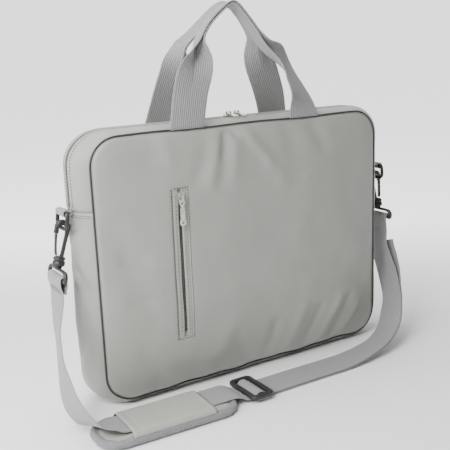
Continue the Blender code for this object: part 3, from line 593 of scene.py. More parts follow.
def rim(part, pitch=0.004):
    """Points and outward normals in X and Z round the body.

    "lower" runs down from the right, and "upper" runs up from the left."""
    half, flat = WIDTH / 2, WIDTH / 2 - CORNER

    def arc(side, end, start):
        centre = np.array((side * flat, MIDDLE + end * (HEIGHT / 2 - CORNER)))
        steps = int(round(CORNER * math.pi / 2 / pitch))
        angles = [math.radians(start - 90 * k / steps) for k in range(steps + 1)]
        normals = [(math.cos(a), math.sin(a)) for a in angles]
        return [(centre + CORNER * np.array(normal), normal) for normal in normals]

    def line(start, end, normal):
        start, end = np.array(start), np.array(end)
        steps = max(1, int(round(np.linalg.norm(end - start) / pitch)))
        return [(start + (end - start) * k / steps, normal) for k in range(steps + 1)]

    low, high = SEAM_BOTTOM + CORNER, SEAM_TOP - CORNER
    if part == "lower":
        runs = [line((half, ZIP_END), (half, low), (1, 0)), arc(1, -1, 0)]
        runs += [line((flat, SEAM_BOTTOM), (-flat, SEAM_BOTTOM), (0, -1)), arc(-1, -1, -90)]
        runs += [line((-half, low), (-half, ZIP_END), (-1, 0))]
    else:
        runs = [line((-half, ZIP_END), (-half, high), (-1, 0)), arc(-1, 1, 180)]
        runs += [line((-flat, SEAM_TOP), (flat, SEAM_TOP), (0, 1)), arc(1, 1, 90)]
        runs += [line((half, high), (half, ZIP_END), (1, 0))]
    pairs = runs[0]
    for run in runs[1:]:
        pairs = pairs + run[1:]
    return np.array([place for place, _ in pairs]), np.array([normal for _, normal in pairs], float)


def seam_wave(x, z, normal_z):
    """The seams sag and pucker a little along the bottom and the top."""
    if normal_z < 0:
        return normal_z**2 * (0.0007 * math.sin(x * 62 + 0.6) + 0.0005 * math.sin(x * 141 + 2.0))
    return normal_z**2 * 0.0005 * math.sin(x * 48 + 1.0)


def gusset_point(place, normal, y, sink=0.0):
    t = max(-1.0, min(1.0, y / HALF_DEPTH))
    crown = max(0.0, 1 - t * t)
    height = BULGE["right" if normal[0] > 0 else "left"] * normal[0] ** 2 * crown**0.8
    if normal[1] > 0:
        height += BULGE["top"] * normal[1] ** 2 * crown**0.8
    else:
        height += BULGE["bottom"] * normal[1] ** 2 * min(1.0, 2.4 * crown)
    x, z = place + normal * (height - sink)
    edge = t**6
    return np.array((x, y, z + edge * seam_wave(x, z, normal[1])))


def gusset_normal(place, normal, y):
    here = gusset_point(place, normal, y)
    aside = gusset_point(place, normal, y + 0.0005) - here
    along = np.array((normal[1], 0.0, -normal[0]))
    up = unit(np.cross(aside, along))
    return up if np.dot(up, (normal[0], 0, normal[1])) > 0 else -up


def gusset_folds(point, weight):
    """Soft creases in the side of the bag, deepest between the seams."""
    x, y, z = point
    depth = ripple(x, y, z, 22.0, 0.0012) + ripple(x + 3, y, z, 55.0, 0.0005)
    if x < -0.15:
        depth -= ridge(y, z, (0.010, 0.178), (-0.027, 0.128), 0.0035, 0.0030)
        depth += ridge(y, z, (0.002, 0.160), (-0.022, 0.112), 0.006, 0.0022)
        depth -= ridge(y, z, (-0.002, 0.205), (-0.024, 0.196), 0.004, 0.0016)
        depth -= ridge(y, z, (-0.018, 0.085), (0.004, 0.052), 0.005, 0.0018)
    if x > 0.15:
        depth -= ridge(y, z, (0.012, 0.182), (-0.024, 0.150), 0.005, 0.0022)
        depth -= ridge(y, z, (0.020, 0.110), (-0.010, 0.080), 0.006, 0.0020)
    return depth * weight


def gusset_sheet(name, part, low, high, steps, finish, thickness, shape=None, sink=0.0, uv=False, **extra):
    places, normals = rim(part)
    widths = np.linspace(low, high, steps + 1)
    grid = []
    for place, normal in zip(places, normals):
        row = []
        for k, y in enumerate(widths):
            extra_sink = shape(place, normal, y, k / steps) if shape else 0.0
            row.append(gusset_point(place, normal, y, sink + extra_sink))
        grid.append(row)
    grid = np.array(grid)
    uvs = None
    if uv:
        distance = lengths(places)
        uvs = [(y, run) for run in distance for y in widths]
    return skin(name, grid, finish, thickness, uvs=uvs, **extra)


GUSSET_EDGE = 0.0290
GUSSET_THICK, STRIP_THICK, TAPE_THICK = 0.0016, 0.0012, 0.0006
STRIP_EDGE = 0.0032
STITCH_LINE = 0.0088
TAPE_INNER, TAPE_OUTER, TAPE_SINK = 0.0004, 0.0095, 0.0015
TOP_STITCH = (0.0020, 0.0009, 0.0005)
SEAM_ROWS = (0.0028, 0.0052)


def seam_dip(z):
    """Both edges of the level seam at the zips' ends turn in."""
    return 0.0009 * math.exp(-(((z - ZIP_END) / 0.0013) ** 2))


def lower_shape(place, normal, y, _):
    t = y / HALF_DEPTH
    point = gusset_point(place, normal, y)
    free = (1 - t**4) * (0.35 if point[2] < 0.03 else 1.0) * min(1.0, (ZIP_END - place[1]) / 0.01 + 0.1)
    if normal[1] < -0.9:
        free = 0.0
    base_guard = min(1.0, max(0.0, (point[2] - 0.004) / 0.012))
    return seam_dip(place[1]) * (normal[0] ** 2) - gusset_folds(point, free * base_guard) + 0.0008 * t**8


def strip_shape(place, normal, y, _):
    away = abs(y)
    roll = 0.0011 * max(0.0, 1 - (away - STRIP_EDGE) / 0.0022) ** 2
    groove = 0.0004 * math.exp(-(((away - STITCH_LINE) / 0.0011) ** 2))
    t = y / HALF_DEPTH
    free = max(0.0, 1 - t**6) * min(1.0, max(0.0, (away - 0.010) / 0.008)) * 0.6
    soft = gusset_folds(gusset_point(place, normal, y), free)
    return roll + groove - soft + seam_dip(place[1]) * normal[0] ** 2 + 0.0008 * t**8


def gusset_line(part, y, lift=0.0, trim=0.0, pitch=0.004):
    """A line along the gusset at depth y, and its surface normals. trim leaves that much off both ends."""
    places, normals = rim(part, pitch)
    distance = lengths(places)
    keep = (distance >= trim) & (distance <= distance[-1] - trim)
    path, ups = [], []
    for place, normal, inside in zip(places, normals, keep):
        if inside:
            up = gusset_normal(place, normal, y)
            path.append(gusset_point(place, normal, y) + up * lift)
            ups.append(up)
    return np.array(path), np.array(ups)


TOOTH_PITCH, TOOTH_WIDTH = 0.0016, 0.0011
TOOTH_OUTLINE = (
    (0.0022, 0.0), (0.0010, 0.0006), (-0.0002, 0.0006),
    (-0.0005, 0.0001), (-0.0002, -0.0003), (0.0022, -0.0003),
)


def zip_teeth(name, path, normals, side, finish, **extra):
    """One side of a coil zip: small loops along path, reaching half way under the other side."""
    distance = lengths(path)
    places = np.arange(TOOTH_PITCH * (1 if side > 0 else 1.5), distance[-1] - TOOTH_PITCH, TOOTH_PITCH)
    spots = along_path(places, distance, path)
    ups = unit(along_path(places, distance, normals))
    along = directions(spots)
    out = unit(np.cross(along, ups)) * side
    n = len(TOOTH_OUTLINE)
    points, faces = [], []
    for spot, up, go, reach in zip(spots, ups, along, out):
        base = len(points)
        for end in (-0.5, 0.5):
            points += [spot + reach * a + up * b + go * end * TOOTH_WIDTH for a, b in TOOTH_OUTLINE]
        faces += [tuple(base + index for index in face) for face in rod(2, n)]
    return solid(name, points, faces, finish, **extra)


def make_gusset():
    gusset_sheet("gusset_lower", "lower", -GUSSET_EDGE, GUSSET_EDGE, 26, "leather", GUSSET_THICK, lower_shape,
                 body="bag", replaces=["lower_gusset"])
    for side, sign in (("front", -1), ("back", 1)):
        extra = {"body": "bag"} if side == "front" else {"bend": True}
        low, high = sorted((sign * STRIP_EDGE, sign * GUSSET_EDGE))
        gusset_sheet(f"strip_{side}", "upper", low, high, 18, "leather", STRIP_THICK, strip_shape,
                     replaces=[f"{side}_zip_strip"], **extra)
        low, high = sorted((sign * TAPE_INNER, sign * TAPE_OUTER))
        gusset_sheet(f"tape_{side}", "upper", low, high, 4, "tape", TAPE_THICK, sink=TAPE_SINK, uv=True,
                     inside="tape", replaces=[f"zip_tape_{side}"], **extra)
        path, ups = gusset_line("upper", 0.0, -0.0013, 0.002, 0.003)
        zip_teeth(f"teeth_{side}", path, ups, -sign, "coil", **extra)
        path, ups = gusset_line("upper", sign * STITCH_LINE, -0.0001, 0.003)
        stitches(f"zip_stitches_{side}", path, ups, size=TOP_STITCH, **extra)
    # Two rows of stitches under the level seam on both sides.
    for side, sign in SIDES.items():
        for row, drop in enumerate(SEAM_ROWS):
            place = np.array((sign * WIDTH / 2, ZIP_END - drop))
            normal = np.array((sign, 0.0))
            span = np.linspace(-HALF_DEPTH + 0.002, HALF_DEPTH - 0.002, 25)
            path = [gusset_point(place, normal, y, lower_shape(place, normal, y, 0) - 0.0001) for y in span]
            ups = [gusset_normal(place, normal, y) for y in span]
            stitches(f"{side}_seam_stitches_{row}", path, ups, pitch=0.0030, body="bag")


PIPE_RADIUS, PIPE_DEPTH, PIPE_SIDES = 0.0010, 0.0296, 8


def pipe_path(depth):
    """The piping's line round the whole rim."""
    path = []
    for part in ("lower", "upper"):
        places, normals = rim(part)
        run = [(*(place + normal * PIPE_RADIUS), normal[1]) for place, normal in zip(places, normals)]
        path += [(x, depth, z + seam_wave(x, z, up)) for x, z, up in run][1 if path else 0:]
    return np.array(path[:-1])


def make_piping():
    # The piping's near-black finish is partly the cord's own colour and partly painted shade of the seam
    # groove.
    tube("piping_front", pipe_path(-PIPE_DEPTH), PIPE_RADIUS, "piping", PIPE_SIDES, body="bag",
         replaces=["front_piping"])
    tube("piping_back", pipe_path(PIPE_DEPTH), PIPE_RADIUS, "piping", PIPE_SIDES, bend=True,
         replaces=["back_piping_lower", "back_piping_upper"])


# ---- Panels ----


def rounded_grid(columns, rows):
    """A grid over the panel's rounded rectangle, in X and Z, whose outer ring is its outline."""
    grid = np.zeros((rows + 1, columns + 1, 2))
    for i in range(rows + 1):
        for j in range(columns + 1):
            a, b = 2 * j / columns - 1, 2 * i / rows - 1
            s = max(abs(a), abs(b), 1e-9)
            w, h, r = s * WIDTH / 2, s * HEIGHT / 2, s**3 * CORNER
            x, z = a * WIDTH / 2, b * HEIGHT / 2
            over_x, over_z = abs(x) - (w - r), abs(z) - (h - r)
            if over_x > 0 and over_z > 0:
                angle = math.pi / 4 * (over_z / r if abs(a) >= abs(b) else 2 - over_x / r)
                x = math.copysign(w - r + r * math.cos(angle), a)
                z = math.copysign(h - r + r * math.sin(angle), b)
            grid[i, j] = x, z
    return grid


def puff(x, z):
    u = min(1.0, abs(x) / (WIDTH / 2))
    v = min(1.0, abs(z - MIDDLE) / (HEIGHT / 2))
    return (1 - u**3.5) * (1 - v**5)


def edge_distance(x, z):
    """How far inside the panel's rounded outline a point lies."""
    dx, dz = WIDTH / 2 - abs(x), HEIGHT / 2 - abs(z - MIDDLE)
    if dx < CORNER and dz < CORNER:
        return max(0.0, CORNER - math.hypot(CORNER - dx, CORNER - dz))
    return max(0.0, min(dx, dz))


FRONT_FOLDS = (
    # start, end, width, height: hanging from the top seam
    ((-0.0300, 0.2925), (-0.0180, 0.2825), 0.0034, -0.0024),
    ((-0.0430, 0.2850), (-0.0600, 0.2360), 0.0090, 0.0022),
    ((-0.0325, 0.2870), (-0.0400, 0.2620), 0.0060, -0.0026),
    ((-0.0400, 0.2620), (-0.0480, 0.2300), 0.0080, -0.0014),
    ((-0.0200, 0.2800), (-0.0300, 0.2400), 0.0090, 0.0018),
    ((-0.0060, 0.2850), (0.0190, 0.2510), 0.0075, 0.0024),
    ((0.0190, 0.2510), (0.0380, 0.2280), 0.0100, 0.0014),
    ((-0.0580, 0.2700), (-0.0800, 0.2340), 0.0110, -0.0016),
    ((0.0500, 0.2240), (0.0650, 0.2280), 0.0050, -0.0009),
    ((0.0480, 0.2900), (0.0600, 0.2500), 0.0120, -0.0012),
    ((0.085, 0.290), (0.102, 0.255), 0.011, -0.0018),
    ((-0.110, 0.290), (-0.104, 0.262), 0.010, 0.0014),
    # rising from the bottom seam
    ((0.012, 0.012), (0.024, 0.060), 0.008, -0.0022),
    ((0.040, 0.011), (0.066, 0.070), 0.009, 0.0022),
    ((0.066, 0.012), (0.092, 0.062), 0.007, -0.0024),
    ((0.090, 0.013), (0.124, 0.068), 0.0065, 0.0024),
    ((0.108, 0.014), (0.142, 0.066), 0.006, -0.0024),
    ((0.128, 0.016), (0.158, 0.052), 0.006, 0.0018),
    ((-0.006, 0.014), (-0.034, 0.056), 0.011, -0.0018),
    ((-0.070, 0.014), (-0.030, 0.075), 0.016, 0.0018),
    ((-0.120, 0.016), (-0.150, 0.060), 0.012, -0.0014),
    # long shallow drapes
    ((0.150, 0.040), (0.020, 0.125), 0.024, 0.0020),
    ((0.178, 0.070), (0.080, 0.160), 0.018, -0.0016),
    ((-0.172, 0.200), (-0.130, 0.090), 0.016, -0.0016),
    ((-0.165, 0.166), (-0.138, 0.160), 0.009, -0.0018),
    ((-0.160, 0.118), (-0.135, 0.116), 0.008, -0.0015),
    ((0.186, 0.235), (0.150, 0.200), 0.012, 0.0014),
)
BACK_FOLDS = (
    ((0.030, 0.288), (0.010, 0.250), 0.008, -0.0014),
    ((-0.050, 0.287), (-0.060, 0.245), 0.009, 0.0014),
    ((0.080, 0.288), (0.095, 0.255), 0.008, -0.0012),
    ((-0.090, 0.013), (-0.120, 0.060), 0.007, -0.0018),
    ((-0.060, 0.012), (-0.085, 0.055), 0.007, 0.0016),
    ((0.060, 0.012), (0.035, 0.060), 0.008, -0.0016),
    ((0.110, 0.014), (0.140, 0.055), 0.008, 0.0014),
    ((-0.160, 0.080), (-0.060, 0.140), 0.020, -0.0014),
)


RIPPLES = ((9.0, 0.0022), (24.0, 0.0009), (60.0, 0.00025))


def panel_out(x, z, size, folds, shift):
    """How far out of the seam's plane a panel stands."""
    inner = edge_distance(x, z)
    free = min(1.0, inner / 0.014)
    out = size * puff(x, z)
    for scale, height in RIPPLES:
        out += ripple(x, shift, z, scale, height) * free
    for start, end, width, height in folds:
        out += ridge(x, z, start, end, width, height) * min(1.0, inner / 0.006)
    roll = max(0.0, 1 - inner / 0.0045)
    return out - 0.0019 * roll**2


WINDOW = 0.0083
pocket_low, pocket_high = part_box("pocket_welt")
POCKET_X = (pocket_low[0] + pocket_high[0]) / 2
WINDOW_LOW, WINDOW_HIGH = pocket_low[2] + 0.0022, pocket_high[2] - 0.0022


def window_edge(x, z):
    """Distance outside the pocket's window; negative within."""
    return max(abs(x - POCKET_X) - WINDOW, WINDOW_LOW - z, z - WINDOW_HIGH)


def front_y(x, z):
    out = panel_out(x, z, FRONT_PUFF, FRONT_FOLDS, 0.0)
    near = window_edge(x, z)
    dent = 0.0007 * math.exp(-(((near - 0.0017) / 0.0012) ** 2))
    if near > 0:
        dent += 0.0005 * math.exp(-near / 0.0006)
    else:
        dent += 0.0009
    return -PANEL_EDGE - out + dent


def back_y(x, z):
    return PANEL_EDGE + panel_out(x, z, BACK_PUFF, BACK_FOLDS, 7.3)


def panel_grid(surface, columns, rows):
    flat = rounded_grid(columns, rows)
    grid = np.zeros((rows + 1, columns + 1, 3))
    for i in range(rows + 1):
        for j in range(columns + 1):
            x, z = flat[i, j]
            z += MIDDLE
            wave = seam_wave(x, z, -1.0 if z < MIDDLE else 1.0)
            near = max(0.0, 1 - edge_distance(x, z) / 0.02)
            grid[i, j] = x, surface(x, z), z + wave * near * (abs(z - MIDDLE) / (HEIGHT / 2)) ** 4
    return grid


def cut_window(piece, low, high):
    """Cuts a box through a panel and keeps the result as its mesh."""
    shape = bmesh.new()
    bmesh.ops.create_cube(shape, size=1.0)
    low, high = Vector(low), Vector(high)
    bmesh.ops.scale(shape, vec=high - low, verts=shape.verts)
    bmesh.ops.translate(shape, vec=(low + high) / 2, verts=shape.verts)
    mesh = bpy.data.meshes.new("window")
    shape.to_mesh(mesh)
    shape.free()
    cutter = bpy.data.objects.new("window", mesh)
    SCENE.collection.objects.link(cutter)
    cut = piece.modifiers.new("window", "BOOLEAN")
    cut.operation = "DIFFERENCE"
    cut.object = cutter
    cut.solver = "EXACT"
    bpy.context.view_layer.update()
    graph = bpy.context.evaluated_depsgraph_get()
    result = bpy.data.meshes.new_from_object(piece.evaluated_get(graph))
    piece.modifiers.clear()
    piece.data = result
    bpy.data.objects.remove(cutter, do_unlink=True)


PANEL_THICK = 0.0022


def make_panels():
    front = skin("panel_front", panel_grid(front_y, 150, 116), "leather", PANEL_THICK,
                 outward=one_way(*FORWARD), body="bag", replaces=["front_panel"])
    cut_window(front, (POCKET_X - WINDOW, -0.07, WINDOW_LOW), (POCKET_X + WINDOW, -0.01, WINDOW_HIGH))
    skin("panel_back", panel_grid(back_y, 130, 100), "leather", PANEL_THICK,
         outward=one_way(*BACKWARD), bend=True, replaces=["back_panel_lower", "back_panel_upper"])


# ---- Front pocket ----


LIP_PROFILE = (
    # across from the slit, and how deep under the panel
    (0.0096, 0.0012), (0.0086, 0.0007), (0.0075, 0.0006), (0.0062, 0.0006), (0.0050, 0.0008),
    (0.0038, 0.0006), (0.0028, 0.0006), (0.0021, 0.0010), (0.0017, 0.0020),
)
LIP_HEM, LIP_STITCH, LIP_DROP = 0.0015, 0.0050, 0.0009
FRAME_MARGIN, FRAME_PITCH, FRAME_LIFT = 0.0017, 0.003, 0.0004
LIP_STITCH_SIZE, FRAME_STITCH_SIZE = (0.0028, 0.0006, 0.0004), (0.0017, 0.0014, 0.0007)


def pocket_rows():
    return np.linspace(WINDOW_HIGH + LIP_HEM, WINDOW_LOW - LIP_HEM, 64)


def make_pocket_lips():
    profile = [(-x, sink) for x, sink in LIP_PROFILE] + list(reversed(LIP_PROFILE))
    slit = len(LIP_PROFILE) - 1
    rows = pocket_rows()
    ends = (WINDOW_LOW + 0.004, WINDOW_HIGH - 0.004)
    grid = []
    for z in rows:
        row = []
        for offset, sink in profile:
            pucker = 0.00018 * math.sin(z * 1450) if 0.004 < abs(offset) < 0.007 else 0.0
            wander = 0.00025 * math.sin(z * 90 + (0 if offset < 0 else 1.3)) * (abs(offset) < 0.003)
            x = POCKET_X + offset
            drop = LIP_DROP * (window_edge(x, z) < 0)
            row.append((x + wander, front_y(x, z) - drop + sink + pucker, z))
        grid.append(row)
    skin("pocket_lips", np.array(grid), "leather", 0.0010, outward=one_way(*FORWARD), body="bag",
         keep=lambda i, j: not (j == slit and ends[0] < rows[i] < ends[1]), replaces=["pocket_welt"])


def make_pocket():
    make_pocket_lips()
    rows = pocket_rows()
    for side, sign in SIDES.items():
        xs = [POCKET_X + sign * offset for offset in (0.0003, 0.0040, 0.0085)]
        tape = [[(x, front_y(POCKET_X, z) + 0.0022, z) for x in xs] for z in rows]
        uvs = [(x, z) for z in rows for x in xs]
        skin(f"pocket_tape_{side}", np.array(tape), "tape", TAPE_THICK, outward=one_way(*FORWARD), uvs=uvs,
             inside="tape", body="bag", replaces=[f"pocket_zip_tape_{side}"])
        line = np.array([(POCKET_X, front_y(POCKET_X, z) + 0.0019, z) for z in rows[2:-2]])
        ups = np.tile((0.0, -1.0, 0.0), (len(line), 1))
        zip_teeth(f"pocket_teeth_{side}", line, ups, -sign, "coil", body="bag")
        x = POCKET_X + sign * LIP_STITCH
        inner = [(x, front_y(x, z) - LIP_DROP + 0.0006, z) for z in rows[3:-3]]
        stitches(f"pocket_lip_stitches_{side}", inner, FORWARD, "thread", 0.0045, LIP_STITCH_SIZE, body="bag")
    reach = WINDOW + FRAME_MARGIN
    low, high = WINDOW_LOW - FRAME_MARGIN, WINDOW_HIGH + FRAME_MARGIN
    corners = [(-reach, high), (-reach, low), (reach, low), (reach, high), (-reach, high)]
    frame_path = []
    for (x0, z0), (x1, z1) in zip(corners, corners[1:]):
        steps = max(2, int(math.hypot(x1 - x0, z1 - z0) / FRAME_PITCH))
        for k in range(steps):
            x, z = POCKET_X + x0 + (x1 - x0) * k / steps, z0 + (z1 - z0) * k / steps
            frame_path.append((x, front_y(x, z) - FRAME_LIFT, z))
    stitches("pocket_frame_stitches", frame_path, FORWARD, "thread", 0.0032, FRAME_STITCH_SIZE, body="bag")


# ---- Carry handles ----


HANDLE_HINGE = 0.0298
HANDLE_LEAN = math.radians(11.2)
HALF_WEB = 0.0205
WEB_THICK = 0.0018
SPINE, SPINE_FORWARD = 0.0013, 0.0043
FOLD_REACH, FOLD_BEND = 0.0180, 0.055
HANDLE_RISE = 0.0036
SEWN_LENGTH = 0.02
HANDLE_LEG = (
    # along X and up the handle's plane in millimetres, fold and twist in degrees
    (-76.5, 0.0, 0, 0),
    (-73.5, 10.0, 0, 0),
    (-70.5, 21.0, 0, 0),
    (-65.5, 38.0, 3, 0),
    (-60.5, 51.0, 10, 0),
    (-56.5, 62.0, 28, 0),
    (-54.0, 70.5, 47, 0),
    (-52.5, 79.0, 68, 0),
)
HANDLE_GRIP = (
    (-50.5, 87.5, 86, 0),
    (-45.0, 97.0, 90, 0),
    (-34.0, 108.8, 90, 0),
    (-18.0, 121.0, 90, 0),
    (-6.5, 127.2, 90, 0),
    (0.5, 125.2, 90, 0),
    (7.0, 117.6, 90, 0),
    (14.3, 108.0, 90, 0),
    (21.2, 98.0, 90, 0),
    (27.8, 88.8, 86, 0),
)
HANDLE_FAR_LEG = (
    (34.5, 80.5, 80, 4),
    (42.0, 73.5, 68, 16),
    (50.0, 66.5, 47, 31),
    (57.5, 58.5, 26, 38),
    (64.4, 49.5, 9, 38),
    (70.0, 40.0, 3, 36),
    (76.0, 26.5, 0, 28),
    (79.0, 12.0, 0, 12),
    (79.5, 0.0, 0, 0),
    (79.5, -3.0, 0, 0),
)
HANDLE_BACK = (
    (-51.0, 84.0, 78, 0),
    (-46.5, 89.5, 86, 0),
    (-38.0, 98.0, 90, 0),
    (-27.0, 108.0, 90, 0),
    (-15.5, 118.5, 90, 0),
    (-6.0, 125.6, 90, 0),
    (3.0, 128.4, 90, 0),
    (11.5, 126.0, 90, 0),
    (20.0, 118.8, 90, 0),
    (28.5, 109.0, 90, 0),
    (36.5, 98.5, 90, 0),
    (42.8, 89.5, 86, 0),
    (46.5, 81.5, 68, 0),
    (49.5, 73.5, 47, 0),
    (52.8, 65.0, 28, 0),
    (57.0, 54.0, 10, 0),
    (63.5, 39.0, 3, 0),
    (70.5, 21.5, 0, 0),
    (74.0, 10.0, 0, 0),
    (76.5, 0.0, 0, 0),
    (76.5, -3.0, 0, 0),
)


def web_section(fold):
    """A webbing's outline across, folded about its middle, and each point's place on the cloth.

    The outline's points are along the webbing's own plane and forward of it."""
    spread = np.array([0, 0.012, 0.03, 0.055, 0.09, 0.15, 0.25, 0.4, 0.55, 0.7, 0.82, 0.92, 0.975, 1.0])
    turn = math.radians(fold)
    bend = np.sin(math.pi / 2 * np.minimum(1.0, spread / FOLD_BEND))
    out = spread * HALF_WEB * math.cos(turn) + SPINE * math.sin(turn) * bend
    belly = 0.0007 * (1 - spread**2) * math.cos(turn)
    forward = FOLD_REACH * math.sin(turn) * spread - SPINE_FORWARD * math.sin(turn) + belly
    half = np.stack([out, forward], axis=1)
    middle = np.concatenate([half[:0:-1] * (-1, 1), half])
    cloth = np.concatenate([-spread[:0:-1], spread]) * HALF_WEB
    along = np.gradient(middle, axis=0)
    along /= np.linalg.norm(along, axis=1, keepdims=True)
    normal = np.stack([-along[:, 1], along[:, 0]], axis=1)
    thick = WEB_THICK / 2 * np.where(np.abs(cloth) > HALF_WEB * 0.99, 0.45, 1.0)[:, None]
    outline = np.concatenate([middle + normal * thick, (middle - normal * thick)[::-1]])
    return outline, np.concatenate([cloth, cloth[::-1]])


def make_handle(side, sign, body, node):
    """Webbing sewn into the seam, folded in half above its legs so that its width turns to the hand."""
    above = HANDLE_BACK if side == "back" else HANDLE_GRIP + HANDLE_FAR_LEG
    stations = ((-76.5, -3.0, 0, 0), *HANDLE_LEG, *above)
    values = catmull([np.array(station, float) * (MM, MM, MM, MM) for station in stations], 0.0022)
    base = np.array((0.0, sign * HANDLE_HINGE, SEAM_TOP + HANDLE_RISE))
    lean = np.array((0.0, -sign * math.sin(HANDLE_LEAN), math.cos(HANDLE_LEAN)))
    inward = np.array((0.0, -sign * math.cos(HANDLE_LEAN), -math.sin(HANDLE_LEAN)))
    path = base + values[:, :1] * np.array((1.0, 0, 0)) + values[:, 1:2] * lean
    along = directions(path)
    level = np.clip(1 - values[:, 1:2] / SEWN_LENGTH, 0, 1)
    upright = np.where(values[:, :1] < 0, 1.0, -1.0) * lean
    along = unit(along * (1 - level) + upright * level)
    distance = lengths(path)
    points, uvs = [], []
    for place, direction, (_, _, fold, twist), run in zip(path, along, values, distance):
        turn = Matrix.Rotation(math.radians(sign * twist / MM), 3, Vector(direction))
        across = np.array(turn @ Vector(np.cross(inward, direction)))
        deep = np.array(turn @ Vector(inward))
        outline, cloth = web_section(min(90.0, max(0.0, fold / MM)))
        points += [place + across * out - deep * forward for out, forward in outline]
        uvs += [(u, run) for u in cloth]
    faces = rod(len(path), len(outline))
    return solid("carry_" + side, points, faces, "webbing", uvs, body=body, replaces=[node])


# ---- Side hardware ----


WIRE, WIRE_SIDES = 0.0021, 14
TAB_WIDTH, TAB_THICK = 0.0225, 0.0014
RING_DROP = 0.0165
EYE_DROP = 0.0525
RING_TILT = math.radians(6.0)
HOOK_TILT = {"left": math.radians(11.0), "right": math.radians(7.0)}
HOOK_RADIUS = 5.8
JOINTS = {joint["name"]: joint for joint in frame["joints"]}


def ring_frame(side):
    place = Vector(JOINTS[side + "_ring_swing"]["pos_m"])
    return Matrix.Translation(place) @ Matrix.Rotation(-SIDES[side] * RING_TILT, 4, "Y")


def hook_frame(side):
    origin = ring_frame(side) @ Vector((0, 0, -RING_DROP))
    return Matrix.Translation(origin) @ Matrix.Rotation(-SIDES[side] * HOOK_TILT[side], 4, "Y")


def placed(frame_matrix, points):
    """Points in millimetres put through a frame."""
    return np.array([frame_matrix @ (Vector(point) * MM) for point in points])


def lathe(name, frame_matrix, profile, finish, segments=24, **extra):
    """A turned piece about the frame's Z. profile is (radius, height) pairs in millimetres."""
    angles = [2 * math.pi * k / segments for k in range(segments)]
    points = [(r * math.cos(a), r * math.sin(a), height) for r, height in profile for a in angles]
    return solid(name, placed(frame_matrix, points), rod(len(profile), segments), finish, **extra)


def bar(name, frame_matrix, path, widths, thick, finish, pitch=0.001, **extra):
    """A moulded bar along path in the frame's X and Z, millimetres, with rounded corners."""
    stations = catmull([(*point, *size) for point, *size in zip(path, widths, thick)], pitch / MM)
    line = placed(frame_matrix, stations[:, :3])
    across = frame_matrix.to_3x3() @ Vector((0, 1, 0))
    return round_bar(name, line, across, stations[:, 3] * MM, stations[:, 4] * MM, finish, **extra)


BAR_SIDES, BAR_SQUARENESS = 16, 0.55


def rounded(value):
    return math.copysign(abs(value) ** BAR_SQUARENESS, value)


def round_bar(name, path, across, width, thickness, finish, **extra):
    """A bar with rounded corners, whose width and thickness are given at each point."""
    across, normal = squared(directions(path), np.broadcast_to(np.array(across, float), path.shape))
    turns = [2 * math.pi * (k + 0.5) / BAR_SIDES for k in range(BAR_SIDES)]
    outline = [(rounded(math.cos(turn)), rounded(math.sin(turn))) for turn in turns]
    points = [
        path[i] + across[i] * x * width[i] / 2 + normal[i] * y * thickness[i] / 2
        for i in range(len(path))
        for x, y in outline
    ]
    return solid(name, points, rod(len(path), BAR_SIDES), finish, **extra)


def loop_outline(half):
    """A closed smooth outline in Y and Z, in millimetres, from its half on one side of Y = 0."""
    points = half + [(-y, z) for y, z in reversed(half[1:-1])]
    closed = points[-1:] + points + points[:2]
    curve = catmull([np.array((0.0, y, z)) for y, z in closed], 1.2)
    first = int(np.argmin(np.linalg.norm(curve - np.array((0.0, *points[0])), axis=1)))
    ends = np.linalg.norm(curve[first + 5:] - np.array((0.0, *points[0])), axis=1)
    return curve[first:first + 5 + int(np.argmin(ends))]


